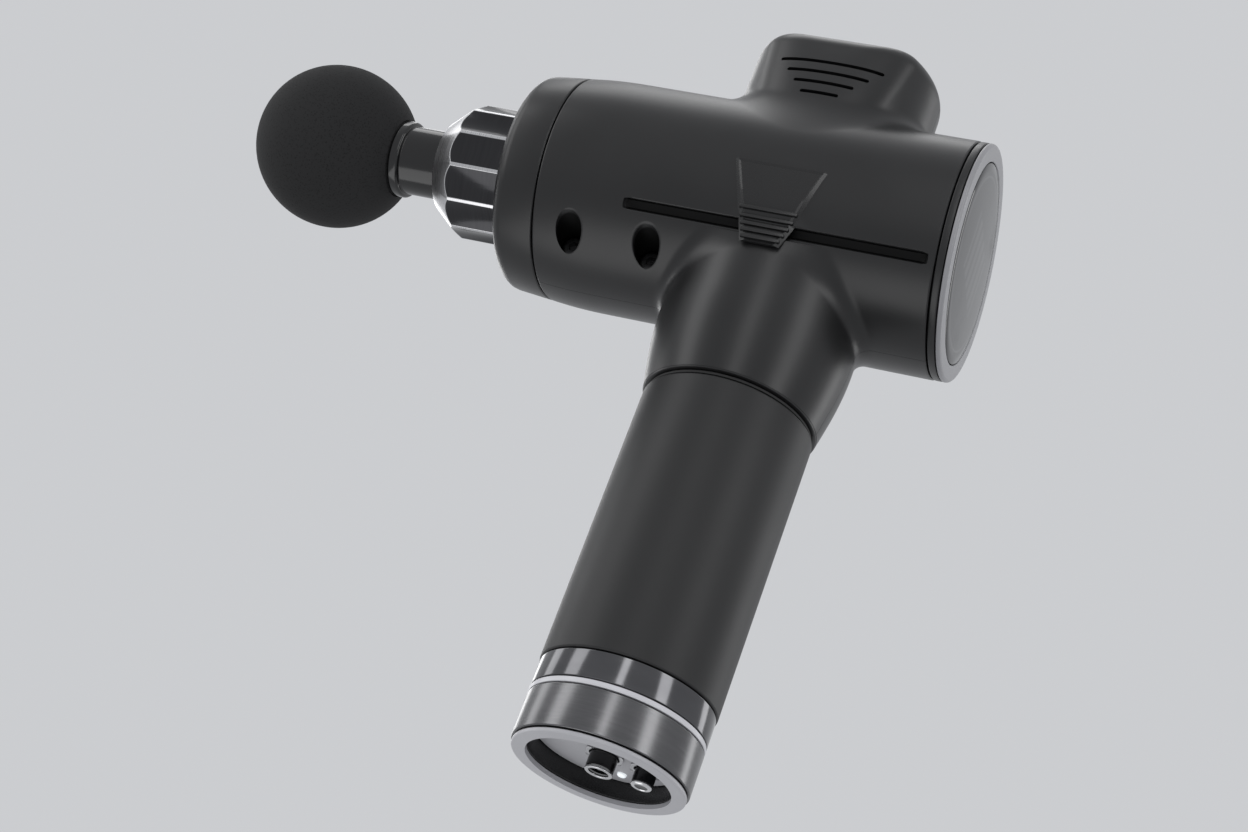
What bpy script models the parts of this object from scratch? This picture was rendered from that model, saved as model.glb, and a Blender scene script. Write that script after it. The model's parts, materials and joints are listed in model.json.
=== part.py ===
"""Massage gun: a T-shaped percussion massager with a foam ball head, a crank drive in its barrel and
a battery in its handle.

Metres, +Z up. The barrel lies along X with the head towards -X, and the handle stands on its rim at
Z = 0. "Forward" is the distance from the handle's axis towards the head, "lift" is the height above
the barrel's axis, and "height" is the height above the rim.
"""

import math

import bmesh
import bpy
from mathutils import Matrix, Vector

# Fits
GAP = 0.0003  # between pieces that seat on one another
RUNNING_GAP = 0.0004  # between pieces that move past one another
OVERCUT = 0.002  # how far a cutter runs past the wall that it cuts
WELD = 0.000002  # points closer than this are one point

# Facets
FINE = 28
MEDIUM = 16
COARSE = 12
BLEND = 3
FILLET = 2
CROWN = 4
EMBLEM = 8
BEND = 6

# Housing: barrel, motor dome and neck
BARREL_RADIUS = 0.0325
BARREL_FRONT_RADIUS = 0.0316
BARREL_TAPER_LENGTH = 0.0153
FRONT_SEAM = 0.0653
REAR_SEAM = 0.0455
WALL = 0.0029
NECK_RADIUS = 0.0270
NECK_END_RADIUS = 0.0238
NECK_SEAM_HEIGHT = 0.1035
NECK_BLEND_RADIUS = 0.0040
DOME_RADIUS = 0.0270
DOME_TOP = 0.0545
DOME_EDGE_RADIUS = 0.0060
DOME_BLEND_RADIUS = 0.0050
DOME_WALL = 0.0024
DOME_FLAT_TOP = 0.0201  # half the width between the two flats at the dome's top
DOME_FLAT_DRAFT = math.radians(12.8)
VENT_COUNT = 4
VENT_TOP = 0.0410
VENT_PITCH = 0.0040
VENT_HEIGHT = 0.0012
VENT_LONGEST = 0.0294
VENT_SHORTER = 0.0062  # how much shorter each vent is than the one above it
GROOVE_LIFT = -0.0185
GROOVE_HEIGHT = 0.0026
GROOVE_DEPTH = 0.0012
GROOVE_FRONT = 0.0400
GROOVE_REAR_MARGIN = 0.0018
SCREW_FORWARDS = (0.0544, 0.0320)
SCREW_LIFT = -0.0256
SCREW_HEAD_RADIUS = 0.0034
SCREW_HEAD_HEIGHT = 0.0026
SCREW_HEAD_EDGE_RADIUS = 0.0009
SCREW_SHANK_RADIUS = 0.0015
SCREW_LENGTH = 0.0180
SCREW_SEAT = 0.0090  # the head's seat, from the parting plane
SCREW_BOSS_RADIUS = 0.0055
BULKHEAD_THICKNESS = 0.0033
BULKHEAD_SETBACK = 0.0030  # from the front seam to the bulkhead

# Front collar, fluted nose and guide
COLLAR_LENGTH = 0.0135
COLLAR_END_RADIUS = 0.0303
COLLAR_EDGE_RADIUS = 0.0040
COLLAR_SPIGOT = 0.0025
NOSE_LENGTH = 0.0249
NOSE_RADIUS = 0.0193
NOSE_TIP_RADIUS = 0.0132
NOSE_CHAMFER_LENGTH = 0.0075
FLUTE_COUNT = 12
FLUTE_DEPTH = 0.0010
FLUTE_RADIUS = 0.0140
BUSH_WALL = 0.0033
BUSH_FLANGE = 0.0034
BUSH_FLANGE_THICKNESS = 0.0027
BUSH_REACH = 0.0062  # how far the bush runs into the nose
SEAL_WIDTH = 0.0040
SEAL_THICKNESS = 0.0014
SEAL_SETBACK = 0.0018

# Crank drive
CRANK_RADIUS = 0.0060
ROD_LENGTH = 0.0480
ROD_THICKNESS = 0.0064
ROD_SMALL_RADIUS = 0.0070
ROD_EYE_WALL = 0.0034
BEARING_RADIUS = 0.0080
BEARING_WIDTH = 0.0052
BEARING_GROOVE = 0.0006
CRANK_PIN_RADIUS = 0.0030
CRANK_PIN_HEAD_RADIUS = 0.0048
CRANK_PIN_HEAD_HEIGHT = 0.0010
CRANK_THICKNESS = 0.0060
CRANK_HUB_RADIUS = 0.0120
COUNTERWEIGHT_RADIUS = 0.0170
COUNTERWEIGHT_SPREAD = math.radians(130)
PLUNGER_RADIUS = 0.0110
PLUNGER_FORK_MARGIN = 0.0060  # plunger behind its wrist pin
FORK_SLOT_MARGIN = 0.0010  # room ahead of the rod's small end
WRIST_PIN_RADIUS = 0.0030
WRIST_PIN_LENGTH = 0.0180
SOCKET_RADIUS = 0.0073
SOCKET_DEPTH = 0.0270

# Motor
SHAFT_RADIUS = 0.0025
SHAFT_TOP = 0.0440
MOTOR_RADIUS = 0.0180
MOTOR_TOP = 0.0455
BELL_BOTTOM = 0.0168
BELL_WALL = 0.0015
BELL_CROWN = 0.0022
MAGNET_THICKNESS = 0.0018
MAGNET_HEIGHT = 0.0190
AIR_GAP = 0.0006
STATOR_TEETH = 9
STATOR_HEIGHT = 0.0170
STATOR_CORE_RADIUS = 0.0092
STATOR_TOOTH_WIDTH = 0.0034
STATOR_TIP_SPREAD = math.radians(30)
STATOR_TIP_THICKNESS = 0.0014
MOUNT_LIFT = 0.0110
MOUNT_THICKNESS = 0.0026
MOUNT_RADIUS = 0.0234
MOUNT_TUBE_WALL = 0.0013
SHAFT_BEARING_RADIUS = 0.0050
SHAFT_BEARING_WIDTH = 0.0040
SHELF_THICKNESS = 0.0027
SHELF_BORE_RADIUS = 0.0190

# Massage head
BALL_REACH = 0.0365  # from the nose's front to the ball's centre
BALL_RADIUS = 0.0237
BALL_BORE_DEPTH = 0.0160
STEM_RADIUS = 0.0098
STEM_FLANGE_RADIUS = 0.0110
STEM_FLANGE_THICKNESS = 0.0030
STEM_FLANGE_EDGE_RADIUS = 0.0008
STEM_CORE_RADIUS = 0.0080
SHANK_RADIUS = 0.0070
SHANK_LENGTH = 0.0240
HEAD_RING_COUNT = 2
RING_SECTION_RADIUS = 0.0006
RING_SPACING = 0.0120
RING_SETBACK = 0.0050

# Rear display
REAR_BAND_RADIUS = 0.0324
REAR_BAND_WIDTH = 0.0020
REAR_SPIGOT = 0.0040
REAR_SPIGOT_WALL = 0.0027
BEZEL_THICKNESS = 0.0014
BEZEL_EDGE_RADIUS = 0.0010
BEZEL_WIDTH = 0.0051
LENS_THICKNESS = 0.0030
LENS_CROWN = 0.0005
LENS_LEDGE = 0.0016
BOARD_THICKNESS = 0.0016

# Handle
GRIP_RADIUS = 0.0233
GRIP_WALL = 0.0015
TRIM_RADIUS = 0.0230
TUBE_RADIUS = 0.0215
TUBE_WALL = 0.0014
TUBE_INSERTION = 0.0145  # how far the tube runs up into the neck
NECK_RING_HEIGHT = 0.0008
NECK_RING_WALL = 0.0010
MIRROR_RING_BOTTOM = 0.0149
MIRROR_RING_TOP = 0.0222
LIGHT_RING_HEIGHT = 0.0014

# Base of the handle
RIM_RADIUS = 0.0225
RIM_THICKNESS = 0.0012
RIM_EDGE_RADIUS = 0.0004
RECESS_RADIUS = 0.0188
RECESS_DEPTH = 0.0060
CUP_WALL = 0.0009
CUP_FLOOR = 0.0015
PLATE_THICKNESS = 0.0016
SOCKET_POST_RADIUS = 0.0036
SOCKET_POST_TIP = 0.0012  # height of the post's end above the rim's plane
SOCKET_HOLE_RADIUS = 0.0026
SOCKET_HOLE_DEPTH = 0.0090
SOCKET_PIN_RADIUS = 0.0010
SOCKET_FLANGE = 0.0016
SOCKET_FLANGE_THICKNESS = 0.0015
TIP_RING_THICKNESS = 0.0006
NUT_WALL = 0.0014
NUT_THICKNESS = 0.0009
BUTTON_FORWARD = -0.0104
BUTTON_SIDE = 0.0033
BUTTON_RADIUS = 0.0028
BUTTON_TIP = 0.0006
BUTTON_EDGE_RADIUS = 0.0005
BUTTON_FLANGE = 0.0012
BUTTON_FLANGE_THICKNESS = 0.0014
BUTTON_TRAVEL = 0.0012
SWITCH_RADIUS = 0.0034
LED_FORWARD = -0.0019
LED_SIDE = 0.0131
LED_RADIUS = 0.0012
LED_STANDOUT = 0.0006
CHARGE_BOARD_HEIGHT = 0.0160

# Battery and wiring
CELL_RADIUS = 0.0091
CELL_LENGTH = 0.0645
CELL_NUB_RADIUS = 0.0030
CELL_NUB_HEIGHT = 0.0006
CELLS_PER_LAYER = 3
CELL_LAYERS = 2
HOLDER_THICKNESS = 0.0015
LOOM_RADIUS = 0.0016
LOOM_OFFSET = 0.0150  # behind the handle's axis, between two cells
LOOM_BEND_RADIUS = 0.0048
LOOM_LEVEL = 0.3  # where the loom turns to the rear, as a share of the headroom
PACK_HEADROOM = 0.0119  # from the battery's top to the barrel's axis

# Side emblems
EMBLEM_TOP = -0.0022
EMBLEM_BOTTOM = -0.0242
EMBLEM_TOP_WIDTH = 0.0252
EMBLEM_BOTTOM_WIDTH = 0.0108
EMBLEM_THICKNESS = 0.0008
EMBLEM_RIB_COUNT = 5
EMBLEM_RIB_PITCH = 0.0020
EMBLEM_RIB_WIDTH = 0.0011
EMBLEM_RIB_HEIGHT = 0.0005
EMBLEM_RIB_MARGIN = 0.0014

# Places that follow from the sizes above
BARREL_BORE = BARREL_FRONT_RADIUS - WALL
COLLAR_FRONT = FRONT_SEAM + COLLAR_LENGTH
NOSE_BACK = COLLAR_FRONT + GAP
NOSE_FRONT = NOSE_BACK + NOSE_LENGTH
PLUNGER_FRONT = NOSE_FRONT - GAP
BALL_FORWARD = NOSE_FRONT + BALL_REACH
WRIST_FORWARD = ROD_LENGTH - CRANK_RADIUS
BULKHEAD_FRONT = FRONT_SEAM - BULKHEAD_SETBACK
BULKHEAD_REAR = BULKHEAD_FRONT - BULKHEAD_THICKNESS
BUSH_BORE = PLUNGER_RADIUS + GAP
BUSH_RADIUS = BUSH_BORE + BUSH_WALL
CRANK_BOTTOM = ROD_THICKNESS / 2 + RUNNING_GAP
BEZEL_BACK = REAR_SEAM + 2 * GAP + REAR_BAND_WIDTH
BEZEL_FACE = BEZEL_BACK + BEZEL_THICKNESS
LENS_FACE = BEZEL_FACE + LENS_CROWN
LENS_RADIUS = REAR_BAND_RADIUS - BEZEL_WIDTH
HANDLE_X = (BALL_FORWARD + BALL_RADIUS - LENS_FACE) / 2
TUBE_BOTTOM = RIM_THICKNESS + GAP
TUBE_TOP = NECK_SEAM_HEIGHT + TUBE_INSERTION
TUBE_BORE = TUBE_RADIUS - TUBE_WALL
TRIM_BORE = TUBE_RADIUS + GAP
CUP_FLOOR_BOTTOM = RECESS_DEPTH + PLATE_THICKNESS + GAP
CUP_FLOOR_TOP = CUP_FLOOR_BOTTOM + CUP_FLOOR
PACK_BOTTOM = CHARGE_BOARD_HEIGHT + BOARD_THICKNESS + GAP
LAYER_PITCH = HOLDER_THICKNESS + CELL_LENGTH + 2 * GAP
PACK_TOP = PACK_BOTTOM + CELL_LAYERS * LAYER_PITCH + HOLDER_THICKNESS
AXIS_HEIGHT = PACK_TOP + PACK_HEADROOM
CELL_CIRCLE = (CELL_RADIUS + GAP / 2) / math.sin(math.pi / CELLS_PER_LAYER)


def clear_scene():
    for obj in list(bpy.data.objects):
        bpy.data.objects.remove(obj, do_unlink=True)
    parts = bpy.data.collections.new("massage_gun")
    cutters = bpy.data.collections.new("cutters")
    for collection in (parts, cutters):
        bpy.context.scene.collection.children.link(collection)
    return parts, cutters


PARTS, CUTTERS = clear_scene()


def add_empty(name, location):
    """A reference point that pieces are parented to."""
    empty = bpy.data.objects.new(name, None)
    empty.location = location
    empty.empty_display_size = WALL
    PARTS.objects.link(empty)
    return empty


BARREL = add_empty("barrel_axis", (HANDLE_X, 0, AXIS_HEIGHT))
HANDLE = add_empty("handle_axis", (HANDLE_X, 0, 0))
ALONG_BARREL = (0, -math.pi / 2, 0)  # turns a shape's own +Z forward


def add_material(name, colour, roughness, metallic=0.0):
    material = bpy.data.materials.new(name)
    material.use_nodes = True
    shader = material.node_tree.nodes["Principled BSDF"]
    shader.inputs["Base Color"].default_value = (*colour, 1)
    shader.inputs["Roughness"].default_value = roughness
    shader.inputs["Metallic"].default_value = metallic
    material.diffuse_color = (*colour, 1)
    return material


MATERIALS = {
    "shell": add_material("satin black shell", (0.012, 0.012, 0.013), 0.42),
    "trim": add_material("black trim", (0.010, 0.010, 0.011), 0.30),
    "grip": add_material("soft-touch grip", (0.010, 0.010, 0.011), 0.60),
    "foam": add_material("black foam", (0.008, 0.008, 0.008), 0.95),
    "gloss": add_material("gloss black plastic", (0.006, 0.006, 0.007), 0.12),
    "rubber": add_material("black rubber", (0.008, 0.008, 0.008), 0.80),
    "chrome": add_material("black chrome", (0.10, 0.10, 0.105), 0.10, 1.0),
    "brushed": add_material("brushed dark metal", (0.08, 0.08, 0.085), 0.30, 1.0),
    "grey": add_material("light grey plastic", (0.22, 0.22, 0.22), 0.45),
    "light": add_material("light guide", (0.45, 0.45, 0.44), 0.40),
    "steel": add_material("steel", (0.55, 0.55, 0.56), 0.25, 1.0),
    "alloy": add_material("alloy", (0.60, 0.60, 0.61), 0.35, 1.0),
    "copper": add_material("wound core", (0.45, 0.20, 0.08), 0.45, 0.6),
    "magnet": add_material("magnet", (0.12, 0.12, 0.12), 0.40, 0.8),
    "board": add_material("circuit board", (0.01, 0.08, 0.03), 0.50),
    "cell": add_material("cell wrap", (0.02, 0.09, 0.20), 0.35),
    "wire": add_material("wire", (0.02, 0.02, 0.02), 0.50),
    "lens": add_material("display lens", (0.010, 0.010, 0.012), 0.06),
}


def add_object(name, mesh, parent, material=None, location=(0, 0, 0), rotation=(0, 0, 0)):
    """A piece of the product when it has a material, and otherwise a cutter."""
    obj = bpy.data.objects.new(name, mesh)
    obj.parent = parent
    obj.location = location
    obj.rotation_euler = rotation
    if material:
        PARTS.objects.link(obj)
        mesh.materials.append(MATERIALS[material])
    else:
        CUTTERS.objects.link(obj)
        obj.hide_render = True
        obj.display_type = "WIRE"
    return obj


def rounded(corners, steps=FILLET):
    """A profile from corners (radius, height) or (radius, height, fillet), with the fillets as arcs."""
    path = []
    for i, (radius, height, *fillet) in enumerate(corners):
        corner = Vector((radius, height))
        if not fillet:
            path.append(corner)
            continue
        before = (Vector(corners[i - 1][:2]) - corner).normalized()
        after = (Vector(corners[(i + 1) % len(corners)][:2]) - corner).normalized()
        half_angle = before.angle(after) / 2
        centre = corner + (before + after).normalized() * (fillet[0] / math.sin(half_angle))
        reach = fillet[0] / math.tan(half_angle)
        start = (corner + before * reach - centre).normalized()
        end = (corner + after * reach - centre).normalized()
        path.extend(centre + start.slerp(end, k / steps) * fillet[0] for k in range(steps + 1))
    return path


def turned(name, corners, parent, material=None, steps=MEDIUM, **placing):
    """A profile turned about the object's own Z. One that starts and ends on the axis is solid."""
    path = rounded(corners)
    solid = path[0].x == 0 and path[-1].x == 0
    mesh = bpy.data.meshes.new(name)
    edges = [(i, i + 1) for i in range(len(path) - 1)]
    if not solid:
        edges.append((len(path) - 1, 0))
    mesh.from_pydata([(p.x, 0, p.y) for p in path], edges, [])
    obj = add_object(name, mesh, parent, material, **placing)
    screw = obj.modifiers.new("turn", "SCREW")
    screw.steps = screw.render_steps = steps
    screw.use_merge_vertices = True
    screw.merge_threshold = WELD
    screw.use_smooth_shade = True
    return obj


def rod(name, radius, bottom, top, parent, material=None, steps=MEDIUM, **placing):
    corners = [(0, top), (radius, top), (radius, bottom), (0, bottom)]
    return turned(name, corners, parent, material, steps, **placing)


def ring(name, radius, bore, bottom, top, parent, material=None, steps=FINE, **placing):
    corners = [(radius, top), (radius, bottom), (bore, bottom), (bore, top)]
    return turned(name, corners, parent, material, steps, **placing)


def box(name, low, high, parent, material=None, **placing):
    """An upright box between two corners given in its parent's space."""
    work = bmesh.new()
    size = Vector(high) - Vector(low)
    middle = (Vector(high) + Vector(low)) / 2
    bmesh.ops.create_cube(work, size=1, matrix=Matrix.Translation(middle) @ Matrix.Diagonal((*size, 1)))
    mesh = bpy.data.meshes.new(name)
    work.to_mesh(mesh)
    work.free()
    return add_object(name, mesh, parent, material, **placing)


def evaluated_mesh(obj):
    """The object's mesh with its modifiers, its loose points welded and its faces turned outwards."""
    bpy.context.view_layer.update()
    graph = bpy.context.evaluated_depsgraph_get()
    mesh = bpy.data.meshes.new_from_object(obj.evaluated_get(graph))
    work = bmesh.new()
    work.from_mesh(mesh)
    bmesh.ops.remove_doubles(work, verts=work.verts, dist=WELD)
    bmesh.ops.recalc_face_normals(work, faces=work.faces)
    work.to_mesh(mesh)
    work.free()
    return mesh


def plate(name, outlines, thickness, parent, material=None, **placing):
    """Flat outlines, the first with the others as holes, given thickness to both sides of their plane."""
    curve = bpy.data.curves.new(name, "CURVE")
    curve.dimensions = "2D"
    curve.fill_mode = "BOTH"
    curve.extrude = thickness / 2
    for outline in outlines:
        spline = curve.splines.new("POLY")
        spline.points.add(len(outline) - 1)
        for point, (x, y) in zip(spline.points, outline):
            point.co = (x, y, 0, 1)
        spline.use_cyclic_u = True
    drawn = bpy.data.objects.new(name + "_outline", curve)
    CUTTERS.objects.link(drawn)
    mesh = evaluated_mesh(drawn)
    bpy.data.objects.remove(drawn, do_unlink=True)
    return add_object(name, mesh, parent, material, **placing)


def arc(radius, start, end, steps, centre=(0, 0)):
    """Points of an arc, both ends included."""
    angles = [start + (end - start) * k / steps for k in range(steps + 1)]
    return [(centre[0] + radius * math.cos(a), centre[1] + radius * math.sin(a)) for a in angles]


def circle(radius, steps, centre=(0, 0)):
    return arc(radius, 0, 2 * math.pi, steps, centre)[:-1]


def boolean(obj, operation, other, solver):
    modifier = obj.modifiers.new(f"{operation.lower()} {other.name}", "BOOLEAN")
    modifier.operation = operation
    modifier.solver = solver
    modifier.object = other
    return obj


def cut(obj, *cutters, solver="EXACT"):
    for cutter in cutters:
        boolean(obj, "DIFFERENCE", cutter, solver)
    return obj


def join(obj, *others, solver="EXACT"):
    for other in others:
        boolean(obj, "UNION", other, solver)
    return obj


def keep(obj, *others, solver="EXACT"):
    for other in others:
        boolean(obj, "INTERSECT", other, solver)
    return obj


def flared(name, profile, wall_radius, blend, side):
    """A round wall on the barrel, above it for side 1 and below it for side -1, with the fillet that a
    ball of the blend's radius leaves as it rolls round between them: the ball's centre keeps to a
    cylinder round the wall's axis and to one round the barrel's axis. The profile gives the wall's free
    end as (radius, lift), and the foot runs on down inside the barrel.
    """
    work = bmesh.new()
    sections = []
    for k in range(FINE):
        angle = 2 * math.pi * k / FINE
        outward = Vector((math.cos(angle), math.sin(angle), 0))
        centre = outward * (wall_radius + blend)
        centre.z = side * math.sqrt((BARREL_RADIUS + blend) ** 2 - centre.y**2)
        to_barrel = Vector((0, -centre.y, -centre.z)).normalized()
        points = [outward * radius + Vector((0, 0, lift)) for radius, lift in profile]
        for i in range(BLEND + 1):
            points.append(centre + (-outward).slerp(to_barrel, i / BLEND) * blend)
        foot = points[-1]
        points.append(Vector((foot.x, foot.y, 0)))
        sections.append([work.verts.new(point) for point in points])
    for first, second in zip(sections, sections[1:] + sections[:1]):
        for i in range(len(first) - 1):
            work.faces.new((first[i], first[i + 1], second[i + 1], second[i]))
    for end in (0, -1):
        work.faces.new([section[end] for section in sections])
    bmesh.ops.recalc_face_normals(work, faces=work.faces)
    mesh = bpy.data.meshes.new(name)
    work.to_mesh(mesh)
    work.free()
    return add_object(name, mesh, BARREL)


def flat_cutters(name, inset):
    """The slabs outside the dome's two inclined flats, moved inwards by the inset."""
    slabs = []
    for side in (-1, 1):
        slab = box(
            f"{name}_{side}",
            (-2 * DOME_RADIUS, -inset, -2 * DOME_TOP),
            (2 * DOME_RADIUS, DOME_RADIUS, DOME_TOP),
            BARREL,
            location=(0, side * DOME_FLAT_TOP, DOME_TOP),
            rotation=(DOME_FLAT_DRAFT, 0, 0 if side > 0 else math.pi),
        )
        slabs.append(slab)
    return slabs


def barrel_profile():
    """The barrel's outside, narrowing smoothly towards the front collar."""
    taper_start = FRONT_SEAM - BARREL_TAPER_LENGTH
    narrowing = BARREL_RADIUS - BARREL_FRONT_RADIUS
    taper = []
    for k in range(BLEND, -1, -1):
        share = k / BLEND
        taper.append((BARREL_RADIUS - narrowing * share**2, taper_start + BARREL_TAPER_LENGTH * share))
    return [(0, FRONT_SEAM), *taper, (BARREL_RADIUS, -REAR_SEAM), (0, -REAR_SEAM)]


def neck_and_dome():
    """The neck swells towards the barrel, and the motor's dome has two inclined flats."""
    neck_end = NECK_SEAM_HEIGHT - AXIS_HEIGHT
    neck_length = -neck_end - BARREL_RADIUS - NECK_BLEND_RADIUS
    swell = []
    for k in range(BLEND):
        share = k / BLEND
        radius = NECK_END_RADIUS + (NECK_RADIUS - NECK_END_RADIUS) * math.sin(share * math.pi / 2)
        swell.append((radius, neck_end + neck_length * share))
    neck = flared("neck_body", swell, NECK_RADIUS, NECK_BLEND_RADIUS, -1)
    crown = rounded([(0, DOME_TOP), (DOME_RADIUS, DOME_TOP, DOME_EDGE_RADIUS), (DOME_RADIUS, 0)], BLEND)
    dome = flared("dome_body", crown[1:-1], DOME_RADIUS, DOME_BLEND_RADIUS, 1)
    cut(dome, *flat_cutters("dome_flat", 0))
    return neck, dome


def housing_cavity():
    """The space inside the housing: barrel, dome and neck bores, less the walls that stand in them."""
    cavity = rod(
        "cavity",
        BARREL_BORE,
        -REAR_SEAM - OVERCUT,
        FRONT_SEAM + OVERCUT,
        BARREL,
        steps=FINE,
        rotation=ALONG_BARREL,
    )
    seat = TUBE_RADIUS + GAP
    bore = TUBE_BORE + GAP
    neck = turned(
        "neck_bore",
        [
            (0, AXIS_HEIGHT),
            (bore, AXIS_HEIGHT),
            (bore, TUBE_TOP + GAP),
            (seat, TUBE_TOP + GAP),
            (seat, NECK_SEAM_HEIGHT - OVERCUT),
            (0, NECK_SEAM_HEIGHT - OVERCUT),
        ],
        HANDLE,
        steps=FINE,
    )
    dome_bore = DOME_RADIUS - DOME_WALL
    dome = rod("dome_bore", dome_bore, 0, DOME_TOP - DOME_WALL, BARREL, steps=FINE)
    cut(dome, *flat_cutters("dome_bore_flat", DOME_WALL))
    join(cavity, neck, dome, solver="MANIFOLD")
    bulkhead = ring(
        "bulkhead",
        BARREL_RADIUS,
        BUSH_RADIUS + GAP,
        BULKHEAD_REAR,
        BULKHEAD_FRONT,
        BARREL,
        rotation=ALONG_BARREL,
    )
    shelf_top = MOUNT_LIFT - GAP
    shelf = ring("shelf", BARREL_RADIUS, SHELF_BORE_RADIUS, shelf_top - SHELF_THICKNESS, shelf_top, BARREL)
    bosses = []
    for i, forward in enumerate(SCREW_FORWARDS):
        bosses.append(
            rod(
                f"boss_{i}",
                SCREW_BOSS_RADIUS,
                -BARREL_RADIUS,
                BARREL_RADIUS,
                BARREL,
                steps=COARSE,
                location=(-forward, 0, SCREW_LIFT),
                rotation=(math.pi / 2, 0, 0),
            )
        )
        low = (-forward - SCREW_BOSS_RADIUS, -BARREL_RADIUS, -BARREL_RADIUS)
        high = (-forward + SCREW_BOSS_RADIUS, BARREL_RADIUS, SCREW_LIFT)
        bosses.append(box(f"boss_foot_{i}", low, high, BARREL))
    return cut(cavity, bulkhead, shelf, *bosses, solver="MANIFOLD")


def housing_openings():
    """Vents on the dome's flats, a groove along each side and the holes for the screws."""
    cutters = []
    for i in range(VENT_COUNT):
        half_length = VENT_LONGEST / 2 - i * VENT_SHORTER / 2
        lift = VENT_TOP - i * VENT_PITCH
        low = (-half_length, -BARREL_RADIUS, lift - VENT_HEIGHT / 2)
        high = (half_length, BARREL_RADIUS, lift + VENT_HEIGHT / 2)
        cutters.append(box(f"vent_{i}", low, high, BARREL))
    groove_middle = math.sqrt(BARREL_RADIUS**2 - GROOVE_LIFT**2)
    for side in (-1, 1):
        floor = side * (groove_middle - GROOVE_DEPTH)
        outside = side * BARREL_RADIUS
        low = (-GROOVE_FRONT, min(floor, outside), GROOVE_LIFT - GROOVE_HEIGHT / 2)
        high = (
            REAR_SEAM - GROOVE_REAR_MARGIN,
            max(floor, outside),
            GROOVE_LIFT + GROOVE_HEIGHT / 2,
        )
        cutters.append(box(f"groove_{side}", low, high, BARREL))
    shank_bore = SCREW_SHANK_RADIUS + GAP
    head_bore = SCREW_HEAD_RADIUS + GAP
    shank_end = -SCREW_SEAT + SCREW_LENGTH + GAP
    for i, forward in enumerate(SCREW_FORWARDS):
        corners = [
            (0, BARREL_RADIUS),
            (head_bore, BARREL_RADIUS),
            (head_bore, SCREW_SEAT - GAP),
            (shank_bore, SCREW_SEAT - GAP),
            (shank_bore, -shank_end),
            (0, -shank_end),
        ]
        cutters.append(
            turned(
                f"screw_hole_{i}",
                corners,
                BARREL,
                steps=COARSE,
                location=(-forward, 0, SCREW_LIFT),
                rotation=(math.pi / 2, 0, 0),
            )
        )
    return cutters


def add_housing():
    """Two moulded halves that meet on the plane of the barrel's and the handle's axes."""
    added = neck_and_dome()
    removed = (housing_cavity(), *housing_openings())
    reach = 2 * AXIS_HEIGHT
    for name, side in (("housing_left", 1), ("housing_right", -1)):
        half = turned(name, barrel_profile(), BARREL, "shell", FINE, rotation=ALONG_BARREL)
        join(half, *added, solver="MANIFOLD")
        cut(half, *removed, solver="MANIFOLD")
        near, far = sorted((side * GAP / 2, side * reach))
        half_space = box(name + "_side", (-reach, near, -reach), (reach, far, reach), BARREL)
        keep(half, half_space, solver="MANIFOLD")
    for i, forward in enumerate(SCREW_FORWARDS):
        head_end = SCREW_SEAT + SCREW_HEAD_HEIGHT
        corners = [
            (0, head_end),
            (SCREW_HEAD_RADIUS, head_end, SCREW_HEAD_EDGE_RADIUS),
            (SCREW_HEAD_RADIUS, SCREW_SEAT),
            (SCREW_SHANK_RADIUS, SCREW_SEAT),
            (SCREW_SHANK_RADIUS, SCREW_SEAT - SCREW_LENGTH),
            (0, SCREW_SEAT - SCREW_LENGTH),
        ]
        turned(
            f"housing_screw_{i + 1}",
            corners,
            BARREL,
            "steel",
            COARSE,
            location=(-forward, 0, SCREW_LIFT),
            rotation=(math.pi / 2, 0, 0),
        )


def add_emblems():
    """A ribbed plate on each side that follows the barrel and ends over the neck."""
    inner = BARREL_RADIUS + GAP
    outer = inner + EMBLEM_THICKNESS
    drop = NECK_RADIUS + 2 * GAP
    bend = math.acos(drop / inner)
    top_angle = math.asin(-EMBLEM_TOP / inner)
    section = arc(inner, -bend, -top_angle, EMBLEM) + arc(outer, -top_angle, -bend, EMBLEM)
    section += [(drop + EMBLEM_THICKNESS, EMBLEM_BOTTOM), (drop, EMBLEM_BOTTOM)]
    rib_lifts = [EMBLEM_BOTTOM + EMBLEM_RIB_MARGIN + k * EMBLEM_RIB_PITCH for k in range(EMBLEM_RIB_COUNT)]
    for name, side in (("emblem_left", 1), ("emblem_right", -1)):
        turn = (math.pi / 2, 0, math.pi / 2 if side > 0 else -math.pi / 2)
        piece = plate(name, [section], EMBLEM_TOP_WIDTH, BARREL, "trim", rotation=turn)
        for k, lift in enumerate(rib_lifts):
            angle = math.asin(-lift / outer)
            out = max(math.cos(angle) * outer, drop + EMBLEM_THICKNESS)
            far, near = out + EMBLEM_RIB_HEIGHT, out - EMBLEM_THICKNESS / 2
            low_y, high_y = sorted((side * near, side * far))
            rib = box(
                f"{name}_rib_{k}",
                (-EMBLEM_TOP_WIDTH / 2, low_y, lift - EMBLEM_RIB_WIDTH / 2),
                (EMBLEM_TOP_WIDTH / 2, high_y, lift + EMBLEM_RIB_WIDTH / 2),
                BARREL,
            )
            join(piece, rib)
        outline = [
            (EMBLEM_TOP_WIDTH / 2, EMBLEM_TOP + OVERCUT),
            (-EMBLEM_TOP_WIDTH / 2, EMBLEM_TOP + OVERCUT),
            (-EMBLEM_BOTTOM_WIDTH / 2, EMBLEM_BOTTOM - OVERCUT),
            (EMBLEM_BOTTOM_WIDTH / 2, EMBLEM_BOTTOM - OVERCUT),
        ]
        trim = plate(name + "_outline", [outline], 4 * BARREL_RADIUS, BARREL, rotation=(math.pi / 2, 0, 0))
        keep(piece, trim)


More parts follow.
